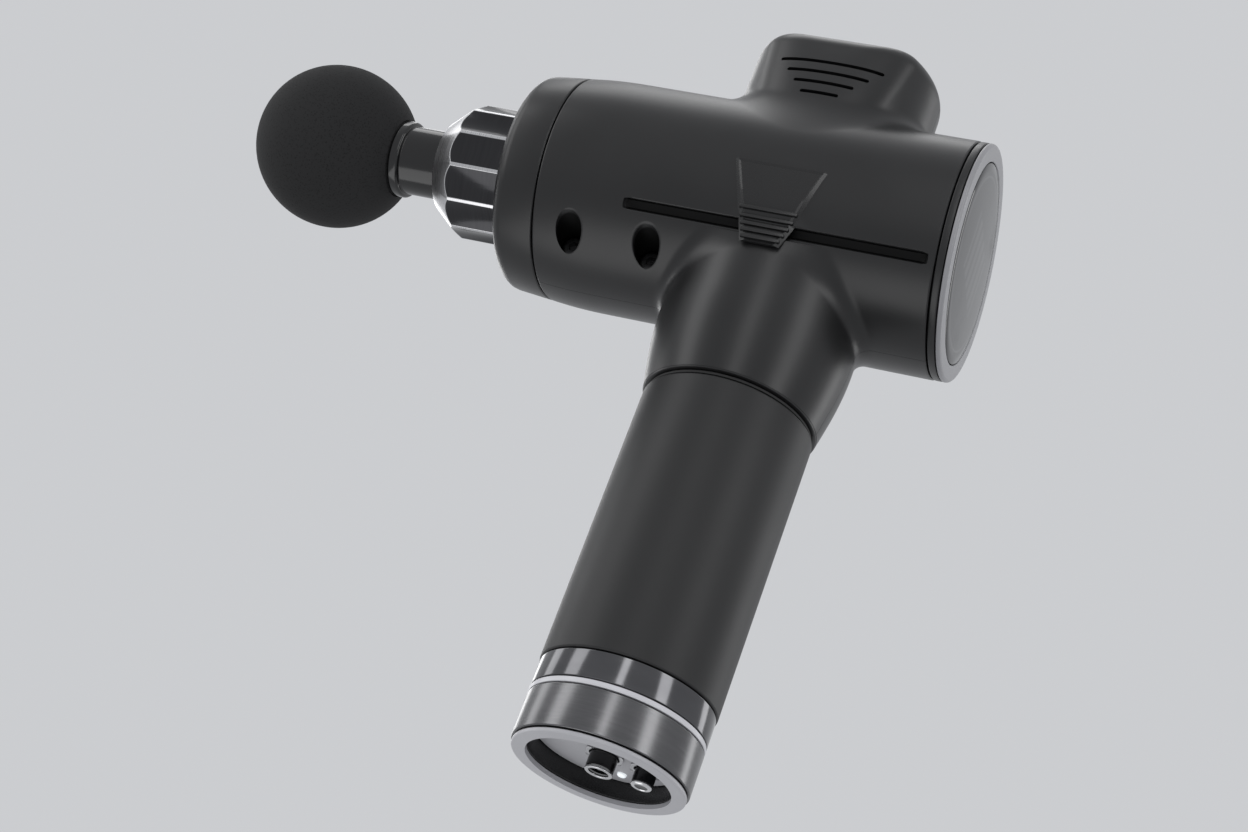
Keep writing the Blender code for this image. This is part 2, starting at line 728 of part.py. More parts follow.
def add_front():
    """The collar that closes the barrel, the fluted nose and the plunger's guide and seal."""
    skin = WALL
    bore = BUSH_RADIUS + GAP
    back = FRONT_SEAM + GAP
    spigot = BARREL_BORE - GAP
    spigot_end = FRONT_SEAM - COLLAR_SPIGOT
    hollow = spigot - skin
    turned(
        "front_collar",
        [
            (bore, COLLAR_FRONT),
            (COLLAR_END_RADIUS, COLLAR_FRONT, COLLAR_EDGE_RADIUS),
            (BARREL_FRONT_RADIUS, back),
            (spigot, back),
            (spigot, spigot_end),
            (hollow, spigot_end),
            (hollow, COLLAR_FRONT - skin),
            (bore, COLLAR_FRONT - skin),
        ],
        BARREL,
        "shell",
        FINE,
        rotation=ALONG_BARREL,
    )
    seal_radius = PLUNGER_RADIUS + GAP + SEAL_THICKNESS
    bush_front = NOSE_BACK + BUSH_REACH
    nose = turned(
        "nose_collar",
        [
            (seal_radius + GAP, NOSE_FRONT),
            (NOSE_TIP_RADIUS, NOSE_FRONT),
            (NOSE_RADIUS, NOSE_FRONT - NOSE_CHAMFER_LENGTH),
            (NOSE_RADIUS, NOSE_BACK),
            (bore, NOSE_BACK),
            (bore, bush_front + GAP),
            (seal_radius + GAP, bush_front + GAP),
        ],
        BARREL,
        "brushed",
        FINE,
        rotation=ALONG_BARREL,
    )
    for k in range(FLUTE_COUNT):
        angle = 2 * math.pi * (k + 0.5) / FLUTE_COUNT
        distance = NOSE_RADIUS - FLUTE_DEPTH + FLUTE_RADIUS
        place = (0, distance * math.sin(angle), distance * math.cos(angle))
        flute = rod(
            f"flute_{k}",
            FLUTE_RADIUS,
            NOSE_BACK - OVERCUT,
            NOSE_FRONT + OVERCUT,
            BARREL,
            steps=MEDIUM,
            location=place,
            rotation=ALONG_BARREL,
        )
        cut(nose, flute)
    seal_front = NOSE_FRONT - SEAL_SETBACK
    ring(
        "nose_seal",
        seal_radius,
        PLUNGER_RADIUS + GAP,
        seal_front - SEAL_WIDTH,
        seal_front,
        BARREL,
        "rubber",
        MEDIUM,
        rotation=ALONG_BARREL,
    )
    flange_front = BULKHEAD_REAR - GAP
    turned(
        "guide_bush",
        [
            (BUSH_RADIUS, bush_front),
            (BUSH_RADIUS, flange_front),
            (BUSH_RADIUS + BUSH_FLANGE, flange_front),
            (BUSH_RADIUS + BUSH_FLANGE, flange_front - BUSH_FLANGE_THICKNESS),
            (BUSH_BORE, flange_front - BUSH_FLANGE_THICKNESS),
            (BUSH_BORE, bush_front),
        ],
        BARREL,
        "rubber",
        MEDIUM,
        rotation=ALONG_BARREL,
    )


def add_plunger():
    """The sliding piston: a socket for the head in front, and a fork with its wrist pin behind."""
    rear = WRIST_FORWARD - PLUNGER_FORK_MARGIN
    plunger = turned(
        "plunger",
        [
            (SOCKET_RADIUS, PLUNGER_FRONT),
            (PLUNGER_RADIUS, PLUNGER_FRONT),
            (PLUNGER_RADIUS, rear),
            (0, rear),
            (0, PLUNGER_FRONT - SOCKET_DEPTH),
            (SOCKET_RADIUS, PLUNGER_FRONT - SOCKET_DEPTH),
        ],
        BARREL,
        "alloy",
        rotation=ALONG_BARREL,
    )
    half_slot = ROD_THICKNESS / 2 + RUNNING_GAP
    slot_front = WRIST_FORWARD + ROD_SMALL_RADIUS + FORK_SLOT_MARGIN
    slot = box(
        "fork_slot",
        (-slot_front, -BARREL_RADIUS, -half_slot),
        (-rear + OVERCUT, BARREL_RADIUS, half_slot),
        BARREL,
    )
    pin_place = (-WRIST_FORWARD, 0, 0)
    pin_bore = rod(
        "wrist_pin_bore",
        WRIST_PIN_RADIUS + GAP,
        -2 * PLUNGER_RADIUS,
        2 * PLUNGER_RADIUS,
        BARREL,
        steps=COARSE,
        location=pin_place,
    )
    cut(plunger, slot, pin_bore)
    half_pin = WRIST_PIN_LENGTH / 2
    rod("wrist_pin", WRIST_PIN_RADIUS, -half_pin, half_pin, BARREL, "steel", COARSE, location=pin_place)


def add_connecting_rod():
    """The rod swings on the wrist pin. Its other eye holds the bearing that runs on the crank pin."""
    big_radius = BEARING_RADIUS + GAP + ROD_EYE_WALL
    tangent = math.acos((ROD_SMALL_RADIUS - big_radius) / ROD_LENGTH)
    big_centre = (ROD_LENGTH, 0)
    outline = arc(ROD_SMALL_RADIUS, tangent, 2 * math.pi - tangent, COARSE)
    outline += arc(big_radius, -tangent, tangent, COARSE, big_centre)
    holes = [
        circle(WRIST_PIN_RADIUS + GAP, COARSE),
        circle(BEARING_RADIUS + GAP, MEDIUM, big_centre),
    ]
    wrist = (-WRIST_FORWARD, 0, 0)
    plate("connecting_rod", [outline, *holes], ROD_THICKNESS, BARREL, "alloy", location=wrist)
    crank_pin_place = (CRANK_RADIUS, 0, 0)
    half = BEARING_WIDTH / 2
    bore = CRANK_PIN_RADIUS + GAP
    race = (BEARING_RADIUS - bore) / 3
    turned(
        "big_end_bearing",
        [
            (BEARING_RADIUS, half),
            (BEARING_RADIUS, -half),
            (BEARING_RADIUS - race, -half),
            (BEARING_RADIUS - race, -half + BEARING_GROOVE),
            (bore + race, -half + BEARING_GROOVE),
            (bore + race, -half),
            (bore, -half),
            (bore, half),
            (bore + race, half),
            (bore + race, half - BEARING_GROOVE),
            (BEARING_RADIUS - race, half - BEARING_GROOVE),
            (BEARING_RADIUS - race, half),
        ],
        BARREL,
        "steel",
        COARSE,
        location=crank_pin_place,
    )
    head_top = -half - GAP
    head_bottom = head_top - CRANK_PIN_HEAD_HEIGHT
    pin_top = ROD_THICKNESS / 2
    turned(
        "crank_pin",
        [
            (0, pin_top),
            (CRANK_PIN_RADIUS, pin_top),
            (CRANK_PIN_RADIUS, head_top),
            (CRANK_PIN_HEAD_RADIUS, head_top),
            (CRANK_PIN_HEAD_RADIUS, head_bottom),
            (0, head_bottom),
        ],
        BARREL,
        "steel",
        COARSE,
        location=crank_pin_place,
    )


def add_rotor():
    """What the motor turns: crank with counterweight, shaft, bell and magnets."""
    half = COUNTERWEIGHT_SPREAD / 2
    outline = arc(COUNTERWEIGHT_RADIUS, math.pi - half, math.pi + half, COARSE)
    outline += arc(CRANK_HUB_RADIUS, math.pi + half, 3 * math.pi - half, COARSE)
    bore = circle(SHAFT_RADIUS + GAP, COARSE)
    crank_middle = CRANK_BOTTOM + CRANK_THICKNESS / 2
    plate("crank_disc", [outline, bore], CRANK_THICKNESS, BARREL, "steel", location=(0, 0, crank_middle))
    rod("motor_shaft", SHAFT_RADIUS, CRANK_BOTTOM + GAP, SHAFT_TOP, BARREL, "steel", COARSE)
    hub = SHAFT_RADIUS + GAP
    bell_bore = MOTOR_RADIUS - BELL_WALL
    turned(
        "rotor_bell",
        [
            (hub, MOTOR_TOP),
            (MOTOR_RADIUS, MOTOR_TOP, BELL_WALL),
            (MOTOR_RADIUS, BELL_BOTTOM),
            (bell_bore, BELL_BOTTOM),
            (bell_bore, MOTOR_TOP - BELL_CROWN),
            (hub, MOTOR_TOP - BELL_CROWN),
        ],
        BARREL,
        "magnet",
    )
    magnet_radius = bell_bore - GAP
    magnet_top = MOTOR_TOP - BELL_CROWN - GAP
    magnet_bottom = magnet_top - MAGNET_HEIGHT
    ring(
        "rotor_magnets",
        magnet_radius,
        magnet_radius - MAGNET_THICKNESS,
        magnet_bottom,
        magnet_top,
        BARREL,
        "magnet",
        MEDIUM,
    )


def add_stator():
    """What holds the motor: a mount with a tube for the shaft's bearings, and the wound core on it."""
    bore = SHAFT_BEARING_RADIUS + GAP
    tube = bore + MOUNT_TUBE_WALL
    plate_top = MOUNT_LIFT + MOUNT_THICKNESS
    magnet_bore = MOTOR_RADIUS - BELL_WALL - GAP - MAGNET_THICKNESS
    stator_radius = magnet_bore - AIR_GAP
    stator_top = MOTOR_TOP - BELL_CROWN - GAP - (MAGNET_HEIGHT - STATOR_HEIGHT) / 2
    stator_bottom = stator_top - STATOR_HEIGHT
    shoulder = tube + MOUNT_TUBE_WALL
    tube_top = stator_top - GAP
    turned(
        "motor_mount",
        [
            (bore, tube_top),
            (tube, tube_top),
            (tube, stator_bottom - GAP),
            (shoulder, stator_bottom - GAP),
            (shoulder, plate_top),
            (MOUNT_RADIUS, plate_top),
            (MOUNT_RADIUS, MOUNT_LIFT),
            (bore, MOUNT_LIFT),
        ],
        BARREL,
        "alloy",
    )
    for name, bottom in (
        ("shaft_bearing_lower", MOUNT_LIFT),
        ("shaft_bearing_upper", tube_top - SHAFT_BEARING_WIDTH),
    ):
        top = bottom + SHAFT_BEARING_WIDTH
        ring(name, SHAFT_BEARING_RADIUS, SHAFT_RADIUS + GAP, bottom, top, BARREL, "steel", COARSE)
    outline = []
    neck_half = STATOR_TOOTH_WIDTH / 2
    tip_radius = stator_radius - STATOR_TIP_THICKNESS
    pitch = 2 * math.pi / STATOR_TEETH
    foot = math.asin(neck_half / STATOR_CORE_RADIUS)
    neck = math.asin(neck_half / tip_radius)
    tip = STATOR_TIP_SPREAD / 2
    for k in range(STATOR_TEETH):
        angle = k * pitch
        outline += arc(tip_radius, angle - neck, angle - tip, 1)
        outline += arc(stator_radius, angle - tip, angle + tip, BLEND)
        outline += arc(tip_radius, angle + tip, angle + neck, 1)
        outline += arc(STATOR_CORE_RADIUS, angle + foot, angle + pitch - foot, FILLET)
    middle = (stator_top + stator_bottom) / 2
    plate(
        "stator",
        [outline, circle(tube + GAP, MEDIUM)],
        STATOR_HEIGHT,
        BARREL,
        "copper",
        location=(0, 0, middle),
    )


def add_head():
    """The foam ball on its stem. The stem's shank plugs into the plunger, held by two rings."""
    shoulder = PLUNGER_FRONT + GAP
    seat = BALL_FORWARD - math.sqrt(BALL_RADIUS**2 - STEM_FLANGE_RADIUS**2)
    flange_front = seat - GAP
    core_front = seat + BALL_BORE_DEPTH
    shank_end = shoulder - SHANK_LENGTH
    groove_floor = SHANK_RADIUS - 2 * RING_SECTION_RADIUS - GAP
    groove_half = RING_SECTION_RADIUS + GAP
    ring_forwards = [shoulder - RING_SETBACK - k * RING_SPACING for k in range(HEAD_RING_COUNT)]
    shank = []
    for forward in ring_forwards:
        shank += [
            (SHANK_RADIUS, forward + groove_half),
            (groove_floor, forward + groove_half),
            (groove_floor, forward - groove_half),
            (SHANK_RADIUS, forward - groove_half),
        ]
    turned(
        "head_stem",
        [
            (0, core_front),
            (STEM_CORE_RADIUS, core_front),
            (STEM_CORE_RADIUS, flange_front),
            (STEM_FLANGE_RADIUS, flange_front),
            (STEM_FLANGE_RADIUS, flange_front - STEM_FLANGE_THICKNESS, STEM_FLANGE_EDGE_RADIUS),
            (STEM_RADIUS, flange_front - STEM_FLANGE_THICKNESS),
            (STEM_RADIUS, shoulder),
            (SHANK_RADIUS, shoulder),
            *shank,
            (SHANK_RADIUS, shank_end, RING_SECTION_RADIUS),
            (0, shank_end),
        ],
        BARREL,
        "gloss",
        rotation=ALONG_BARREL,
    )
    for k, forward in enumerate(ring_forwards):
        bpy.ops.mesh.primitive_torus_add(
            major_segments=MEDIUM,
            minor_segments=2 * FILLET,
            major_radius=SHANK_RADIUS - RING_SECTION_RADIUS,
            minor_radius=RING_SECTION_RADIUS,
        )
        made = bpy.context.object
        mesh = made.data
        bpy.data.objects.remove(made, do_unlink=True)
        name = f"head_ring_{k + 1}"
        add_object(name, mesh, BARREL, "rubber", location=(-forward, 0, 0), rotation=ALONG_BARREL)
    bpy.ops.mesh.primitive_uv_sphere_add(segments=FINE, ring_count=MEDIUM, radius=BALL_RADIUS)
    made = bpy.context.object
    mesh = made.data
    bpy.data.objects.remove(made, do_unlink=True)
    mesh.shade_smooth()
    ball = add_object(
        "head_ball", mesh, BARREL, "foam", location=(-BALL_FORWARD, 0, 0), rotation=ALONG_BARREL
    )
    bore = turned(
        "ball_bore",
        [
            (0, core_front + GAP),
            (STEM_CORE_RADIUS + GAP, core_front + GAP),
            (STEM_CORE_RADIUS + GAP, seat),
            (2 * STEM_FLANGE_RADIUS, seat),
            (2 * STEM_FLANGE_RADIUS, seat - STEM_FLANGE_RADIUS),
            (0, seat - STEM_FLANGE_RADIUS),
        ],
        BARREL,
        rotation=ALONG_BARREL,
    )
    cut(ball, bore)


def add_rear():
    """The band that closes the barrel behind, its bezel and lens, and the control board inside."""
    spigot = BARREL_BORE - GAP
    bore = min(LENS_RADIUS - LENS_LEDGE, spigot - REAR_SPIGOT_WALL)  # leaves a ledge and a wall
    band_front = -REAR_SEAM - GAP
    band_back = band_front - REAR_BAND_WIDTH
    spigot_end = -REAR_SEAM + REAR_SPIGOT
    lens_seat = -LENS_FACE + LENS_CROWN + LENS_THICKNESS
    turned(
        "rear_band",
        [
            (spigot, spigot_end),
            (spigot, band_front),
            (REAR_BAND_RADIUS, band_front),
            (REAR_BAND_RADIUS, band_back),
            (LENS_RADIUS + GAP, band_back),
            (LENS_RADIUS + GAP, lens_seat + GAP),
            (bore, lens_seat + GAP),
            (bore, spigot_end),
        ],
        BARREL,
        "shell",
        FINE,
        rotation=ALONG_BARREL,
    )
    turned(
        "rear_bezel",
        [
            (REAR_BAND_RADIUS, -BEZEL_BACK),
            (REAR_BAND_RADIUS, -BEZEL_FACE, BEZEL_EDGE_RADIUS),
            (LENS_RADIUS + GAP, -BEZEL_FACE),
            (LENS_RADIUS + GAP, -BEZEL_BACK),
        ],
        BARREL,
        "grey",
        FINE,
        rotation=ALONG_BARREL,
    )
    crown = []
    for k in range(CROWN, -1, -1):
        share = k / CROWN
        crown.append((LENS_RADIUS * share, -LENS_FACE + LENS_CROWN * share**2))
    turned(
        "display_lens",
        [(0, lens_seat), (LENS_RADIUS, lens_seat), *crown],
        BARREL,
        "lens",
        FINE,
        rotation=ALONG_BARREL,
    )
    board_back = spigot_end + GAP
    rod(
        "control_board",
        (bore + spigot) / 2,
        board_back,
        board_back + BOARD_THICKNESS,
        BARREL,
        "board",
        rotation=ALONG_BARREL,
    )


def add_handle():
    """The tube that holds the battery, with its grip and the rings round it."""
    ring("handle_tube", TUBE_RADIUS, TUBE_BORE, TUBE_BOTTOM, TUBE_TOP, HANDLE, "trim")
    ring_top = NECK_SEAM_HEIGHT - GAP
    ring_bottom = ring_top - NECK_RING_HEIGHT
    ring("neck_ring", TRIM_BORE + NECK_RING_WALL, TRIM_BORE, ring_bottom, ring_top, HANDLE, "rubber")
    grip_bottom = MIRROR_RING_TOP + GAP
    grip_bore = GRIP_RADIUS - GRIP_WALL
    ring("grip_sleeve", GRIP_RADIUS, grip_bore, grip_bottom, ring_bottom - GAP, HANDLE, "grip")
    light_top = MIRROR_RING_BOTTOM - GAP
    light_bottom = light_top - LIGHT_RING_HEIGHT
    for name, bottom, top, material in (
        ("mirror_ring", MIRROR_RING_BOTTOM, MIRROR_RING_TOP, "chrome"),
        ("light_ring", light_bottom, light_top, "light"),
        ("base_band", TUBE_BOTTOM, light_bottom - GAP, "brushed"),
    ):
        ring(name, TRIM_RADIUS, TRIM_BORE, bottom, top, HANDLE, material)


def add_base():
    """The recess under the handle, with the charging socket, the power button and a lamp in it."""
    turned(
        "base_rim",
        [
            (RIM_RADIUS, RIM_THICKNESS),
            (RIM_RADIUS, 0, RIM_EDGE_RADIUS),
            (RECESS_RADIUS, 0),
            (RECESS_RADIUS, RIM_THICKNESS),
        ],
        HANDLE,
        "grey",
        FINE,
    )
    cup = turned(
        "base_cup",
        [
            (0, CUP_FLOOR_TOP),
            (RECESS_RADIUS + CUP_WALL, CUP_FLOOR_TOP),
            (RECESS_RADIUS + CUP_WALL, TUBE_BOTTOM),
            (RECESS_RADIUS, TUBE_BOTTOM),
            (RECESS_RADIUS, CUP_FLOOR_BOTTOM),
            (0, CUP_FLOOR_BOTTOM),
        ],
        HANDLE,
        "trim",
        FINE,
    )
    floor_top = CUP_FLOOR_BOTTOM - GAP
    floor = rod("base_plate", RECESS_RADIUS - GAP, RECESS_DEPTH, floor_top, HANDLE, "grey", FINE)
    button_place = (-BUTTON_FORWARD, BUTTON_SIDE, 0)
    led_place = (-LED_FORWARD, LED_SIDE, 0)
    for name, radius, place in (
        ("socket_hole", SOCKET_POST_RADIUS + GAP, (0, 0, 0)),
        ("button_hole", BUTTON_RADIUS + RUNNING_GAP, button_place),
        ("led_hole", LED_RADIUS + GAP, led_place),
    ):
        hole = rod(name, radius, 0, 2 * CUP_FLOOR_TOP, HANDLE, steps=MEDIUM, location=place)
        cut(cup, hole)
        cut(floor, hole)
    flange_bottom = CUP_FLOOR_TOP + GAP
    socket_top = CHARGE_BOARD_HEIGHT - GAP
    hole_top = SOCKET_POST_TIP + SOCKET_HOLE_DEPTH
    turned(
        "dc_socket",
        [
            (0, socket_top),
            (SOCKET_POST_RADIUS, socket_top),
            (SOCKET_POST_RADIUS, flange_bottom + SOCKET_FLANGE_THICKNESS),
            (SOCKET_POST_RADIUS + SOCKET_FLANGE, flange_bottom + SOCKET_FLANGE_THICKNESS),
            (SOCKET_POST_RADIUS + SOCKET_FLANGE, flange_bottom),
            (SOCKET_POST_RADIUS, flange_bottom),
            (SOCKET_POST_RADIUS, SOCKET_POST_TIP),
            (SOCKET_HOLE_RADIUS, SOCKET_POST_TIP),
            (SOCKET_HOLE_RADIUS, hole_top),
            (SOCKET_PIN_RADIUS, hole_top),
            (SOCKET_PIN_RADIUS, SOCKET_POST_TIP),
            (0, SOCKET_POST_TIP),
        ],
        HANDLE,
        "gloss",
        MEDIUM,
    )
    tip_top = SOCKET_POST_TIP - GAP
    tip_bottom = tip_top - TIP_RING_THICKNESS
    ring(
        "dc_socket_ring",
        SOCKET_POST_RADIUS,
        SOCKET_HOLE_RADIUS,
        tip_bottom,
        tip_top,
        HANDLE,
        "steel",
        MEDIUM,
    )
    nut_top = RECESS_DEPTH - GAP
    for name, radius, place in (
        ("dc_nut", SOCKET_POST_RADIUS + GAP, (0, 0, 0)),
        ("button_nut", BUTTON_RADIUS + RUNNING_GAP, button_place),
    ):
        bottom = nut_top - NUT_THICKNESS
        ring(name, radius + NUT_WALL, radius, bottom, nut_top, HANDLE, "steel", MEDIUM, location=place)
    button_flange_bottom = CUP_FLOOR_TOP + GAP
    button_top = button_flange_bottom + BUTTON_FLANGE_THICKNESS
    turned(
        "power_button",
        [
            (0, button_top),
            (BUTTON_RADIUS + BUTTON_FLANGE, button_top),
            (BUTTON_RADIUS + BUTTON_FLANGE, button_flange_bottom),
            (BUTTON_RADIUS, button_flange_bottom),
            (BUTTON_RADIUS, BUTTON_TIP, BUTTON_EDGE_RADIUS),
            (0, BUTTON_TIP),
        ],
        HANDLE,
        "gloss",
        MEDIUM,
        location=button_place,
    )
    switch_bottom = button_top + BUTTON_TRAVEL + RUNNING_GAP
    switch_top = CHARGE_BOARD_HEIGHT - GAP
    rod("button_switch", SWITCH_RADIUS, switch_bottom, switch_top, HANDLE, "trim", location=button_place)
    led_bottom = RECESS_DEPTH - LED_STANDOUT
    rod("charge_led", LED_RADIUS, led_bottom, CUP_FLOOR_TOP, HANDLE, "light", COARSE, location=led_place)
    board_radius = TUBE_BORE - GAP
    board_top = CHARGE_BOARD_HEIGHT + BOARD_THICKNESS
    rod("charge_board", board_radius, CHARGE_BOARD_HEIGHT, board_top, HANDLE, "board")


def add_battery():
    """Layers of three cells between holders, and the loom that runs up behind them."""
    for layer in range(CELL_LAYERS):
        bottom = PACK_BOTTOM + layer * LAYER_PITCH + HOLDER_THICKNESS + GAP
        top = bottom + CELL_LENGTH
        corners = [
            (0, top),
            (CELL_NUB_RADIUS, top),
            (CELL_NUB_RADIUS, top - CELL_NUB_HEIGHT),
            (CELL_RADIUS, top - CELL_NUB_HEIGHT),
            (CELL_RADIUS, bottom),
            (0, bottom),
        ]
        for k in range(CELLS_PER_LAYER):
            angle = math.pi + 2 * math.pi * k / CELLS_PER_LAYER
            place = (CELL_CIRCLE * math.cos(angle), CELL_CIRCLE * math.sin(angle), 0)
            number = layer * CELLS_PER_LAYER + k + 1
            turned(f"battery_cell_{number}", corners, HANDLE, "cell", COARSE, location=place)
    names = ("cell_holder_bottom", "cell_holder_middle", "cell_holder_top")
    for k, name in enumerate(names):
        middle = PACK_BOTTOM + k * LAYER_PITCH + HOLDER_THICKNESS / 2
        outlines = [
            circle(TUBE_BORE - GAP, MEDIUM),
            circle(LOOM_RADIUS + GAP, COARSE, (LOOM_OFFSET, 0)),
        ]
        plate(name, outlines, HOLDER_THICKNESS, HANDLE, "trim", location=(0, 0, middle))
    add_loom()


def add_loom():
    """One bundle of wires from the charging board, up beside the cells, to the control board."""
    board_front = REAR_SEAM - REAR_SPIGOT - 2 * GAP - BOARD_THICKNESS
    level = PACK_TOP + LOOM_LEVEL * PACK_HEADROOM
    bend_start = level - LOOM_BEND_RADIUS
    bend_end = LOOM_OFFSET + LOOM_BEND_RADIUS
    path = []
    for k in range(BEND):
        path.append((LOOM_OFFSET, 0, PACK_BOTTOM + (bend_start - PACK_BOTTOM) * k / BEND))
    for x, z in arc(LOOM_BEND_RADIUS, math.pi, math.pi / 2, BEND, (bend_end, bend_start)):
        path.append((x, 0, z))
    path.append(((bend_end + board_front) / 2, 0, level))
    path.append((board_front, 0, level))
    curve = bpy.data.curves.new("wiring_loom", "CURVE")
    curve.dimensions = "3D"
    curve.bevel_depth = LOOM_RADIUS
    curve.bevel_resolution = FILLET
    curve.use_fill_caps = True
    spline = curve.splines.new("POLY")
    spline.points.add(len(path) - 1)
    for point, place in zip(spline.points, path):
        point.co = (*place, 1)
    add_object("wiring_loom", curve, HANDLE, "wire")


def main():
    add_housing()
    add_emblems()
    add_front()
    add_plunger()
    add_connecting_rod()
    add_rotor()
    add_stator()
    add_head()
    add_rear()
    add_handle()
    add_base()
    add_battery()


main()
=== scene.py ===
# %% [markdown]
# # A percussion massager
# The imported solids come in as a fixed frame. They are right in size and place, but their round faces are
# cut into flats, so every surface that shows is modelled again here, finely, in the same place. The inner
# pieces keep their solids and only get finishes.

# %% Load the frame
import json
import math
from contextlib import contextmanager

import bpy
import numpy as np
from mathutils import Matrix, Vector


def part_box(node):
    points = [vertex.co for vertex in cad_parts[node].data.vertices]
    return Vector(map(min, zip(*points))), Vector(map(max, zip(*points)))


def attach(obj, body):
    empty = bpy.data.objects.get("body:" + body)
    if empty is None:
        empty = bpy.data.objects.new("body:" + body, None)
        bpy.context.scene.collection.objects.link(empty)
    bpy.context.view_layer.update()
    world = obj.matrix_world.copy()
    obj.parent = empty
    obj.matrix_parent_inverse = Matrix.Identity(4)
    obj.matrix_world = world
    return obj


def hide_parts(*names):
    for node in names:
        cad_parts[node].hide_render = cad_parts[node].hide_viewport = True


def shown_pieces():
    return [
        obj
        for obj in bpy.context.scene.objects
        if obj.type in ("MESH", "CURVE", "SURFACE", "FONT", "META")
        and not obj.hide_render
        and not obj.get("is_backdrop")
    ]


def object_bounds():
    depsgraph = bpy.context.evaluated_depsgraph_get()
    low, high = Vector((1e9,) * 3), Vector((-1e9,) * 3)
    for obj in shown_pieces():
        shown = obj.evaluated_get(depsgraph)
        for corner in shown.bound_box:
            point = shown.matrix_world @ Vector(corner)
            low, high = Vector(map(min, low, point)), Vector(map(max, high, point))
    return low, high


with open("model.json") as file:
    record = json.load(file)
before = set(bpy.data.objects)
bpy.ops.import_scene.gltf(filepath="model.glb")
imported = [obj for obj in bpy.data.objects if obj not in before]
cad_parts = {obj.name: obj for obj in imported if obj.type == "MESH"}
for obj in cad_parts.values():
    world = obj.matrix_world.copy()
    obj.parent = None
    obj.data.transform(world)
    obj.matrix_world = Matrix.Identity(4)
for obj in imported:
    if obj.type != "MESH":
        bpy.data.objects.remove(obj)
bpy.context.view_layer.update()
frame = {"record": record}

# %% [markdown]
# ## Two axes
# Nearly all of this tool is turned: the nose, barrel and rear cap about a level axis, the grip and its
# rings about an upright one. Both axes are read from the solids, so that the new pieces can't drift away
# from them. Along the barrel, places are counted forwards from the handle's axis, and lifts from the
# barrel's axis. Lengths are written in mm.

# %% Read the axes from the solids
MM = 0.001
UP = Vector((0, 0, 1))
FORWARD = Vector((-1, 0, 0))
NEAR = Vector((0, -1, 0))


def middle(node):
    low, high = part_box(node)
    return (low + high) / 2


HANDLE = Vector((middle("grip_sleeve").x, 0, 0))
BARREL = Vector((HANDLE.x, 0, middle("front_collar").z))
LEVEL_AXIS = (BARREL, FORWARD)
UPRIGHT_AXIS = (HANDLE, UP)
print("handle axis at x", round(HANDLE.x / MM, 2), "barrel axis at height", round(BARREL.z / MM, 2))

# %% [markdown]
# ## Working as by hand
# Blender's operators act on whatever is selected, so each step first makes sure that only its own object
# is. These helpers select one object, add a primitive, open a mesh in edit mode and extrude step by step.


# %% Selecting, adding and editing
def alone(obj):
    """Leaves one object selected and active."""
    bpy.ops.object.select_all(action="DESELECT")
    obj.select_set(True)
    bpy.context.view_layer.objects.active = obj


def fresh(name, add, **settings):
    """A new primitive under its own name, with nothing else selected."""
    bpy.ops.object.select_all(action="DESELECT")
    add(**settings)
    obj = bpy.context.object
    obj.name = obj.data.name = name
    return obj


@contextmanager
def edit_mode(obj, whole=True):
    """Edit mode for one object, with its whole mesh selected or what was selected before."""
    alone(obj)
    bpy.ops.object.mode_set(mode="EDIT")
    if whole:
        bpy.ops.mesh.select_mode(type="VERT")
        bpy.ops.mesh.select_all(action="SELECT")
    yield
    bpy.ops.object.mode_set(mode="OBJECT")


def extrude_along(points):
    """Carries what is selected from the first point to the last."""
    for start, end in zip(points, points[1:]):
        bpy.ops.mesh.extrude_region_move(TRANSFORM_OT_translate={"value": end - start})


def face_out():
    """Turns all faces of a closed mesh outwards."""
    bpy.ops.mesh.select_all(action="SELECT")
    bpy.ops.mesh.normals_make_consistent(inside=False)


# %% [markdown]
# ## Turning
# A lathe part starts as a single point. Extruding that point from corner to corner draws the profile,
# and Spin carries the profile once round the axis. A Screw modifier would do the same, but Spin takes any
# axis in space, so the piece is made where it belongs. Corners that are rounded on the real part are
# given their fillet in the profile, because a fillet drawn there stays exact all the way round.


# %% Fillets in a profile
def rounded(corners, steps=5):
    """Corners (radius, distance) or (radius, distance, fillet) in mm, with each fillet as an arc."""
    path = []
    for i, (radius, distance, *fillet) in enumerate(corners):
        corner = Vector((radius, distance))
        if not fillet:
            path.append(corner)
            continue
        before = (Vector(corners[i - 1][:2]) - corner).normalized()
        after = (Vector(corners[(i + 1) % len(corners)][:2]) - corner).normalized()
        half_angle = before.angle(after) / 2
        centre = corner + (before + after).normalized() * (fillet[0] / math.sin(half_angle))
        reach = fillet[0] / math.tan(half_angle)
        start = (corner + before * reach - centre).normalized()
        end = (corner + after * reach - centre).normalized()
        path.extend(centre + start.slerp(end, k / steps) * fillet[0] for k in range(steps + 1))
    return path


print("a square corner with a fillet:", len(rounded([(0, 0), (5, 0, 1), (5, 5)])), "points")

# %% Spin a profile round an axis
WELD = 0.002


def turn(name, corners, foot, direction, steps=128):
    """A profile spun round the axis through foot. A profile off the axis closes on itself, as a ring."""
    path = rounded(corners)
    if path[0].x > 0 or path[-1].x > 0:
        path.append(path[0])
    side = direction.orthogonal().normalized()
    points = [foot + (direction * p.y + side * p.x) * MM for p in path]
    obj = fresh(name, bpy.ops.mesh.primitive_plane_add, size=MM, location=points[0])
    bpy.ops.object.transform_apply()
    with edit_mode(obj):
        bpy.ops.mesh.merge(type="CENTER")
        extrude_along(points)
        bpy.ops.mesh.select_all(action="SELECT")
        bpy.ops.mesh.spin(steps=steps, angle=2 * math.pi, center=foot, axis=direction)
        bpy.ops.mesh.select_all(action="SELECT")
        bpy.ops.mesh.remove_doubles(threshold=WELD * MM)
        face_out()
    return obj


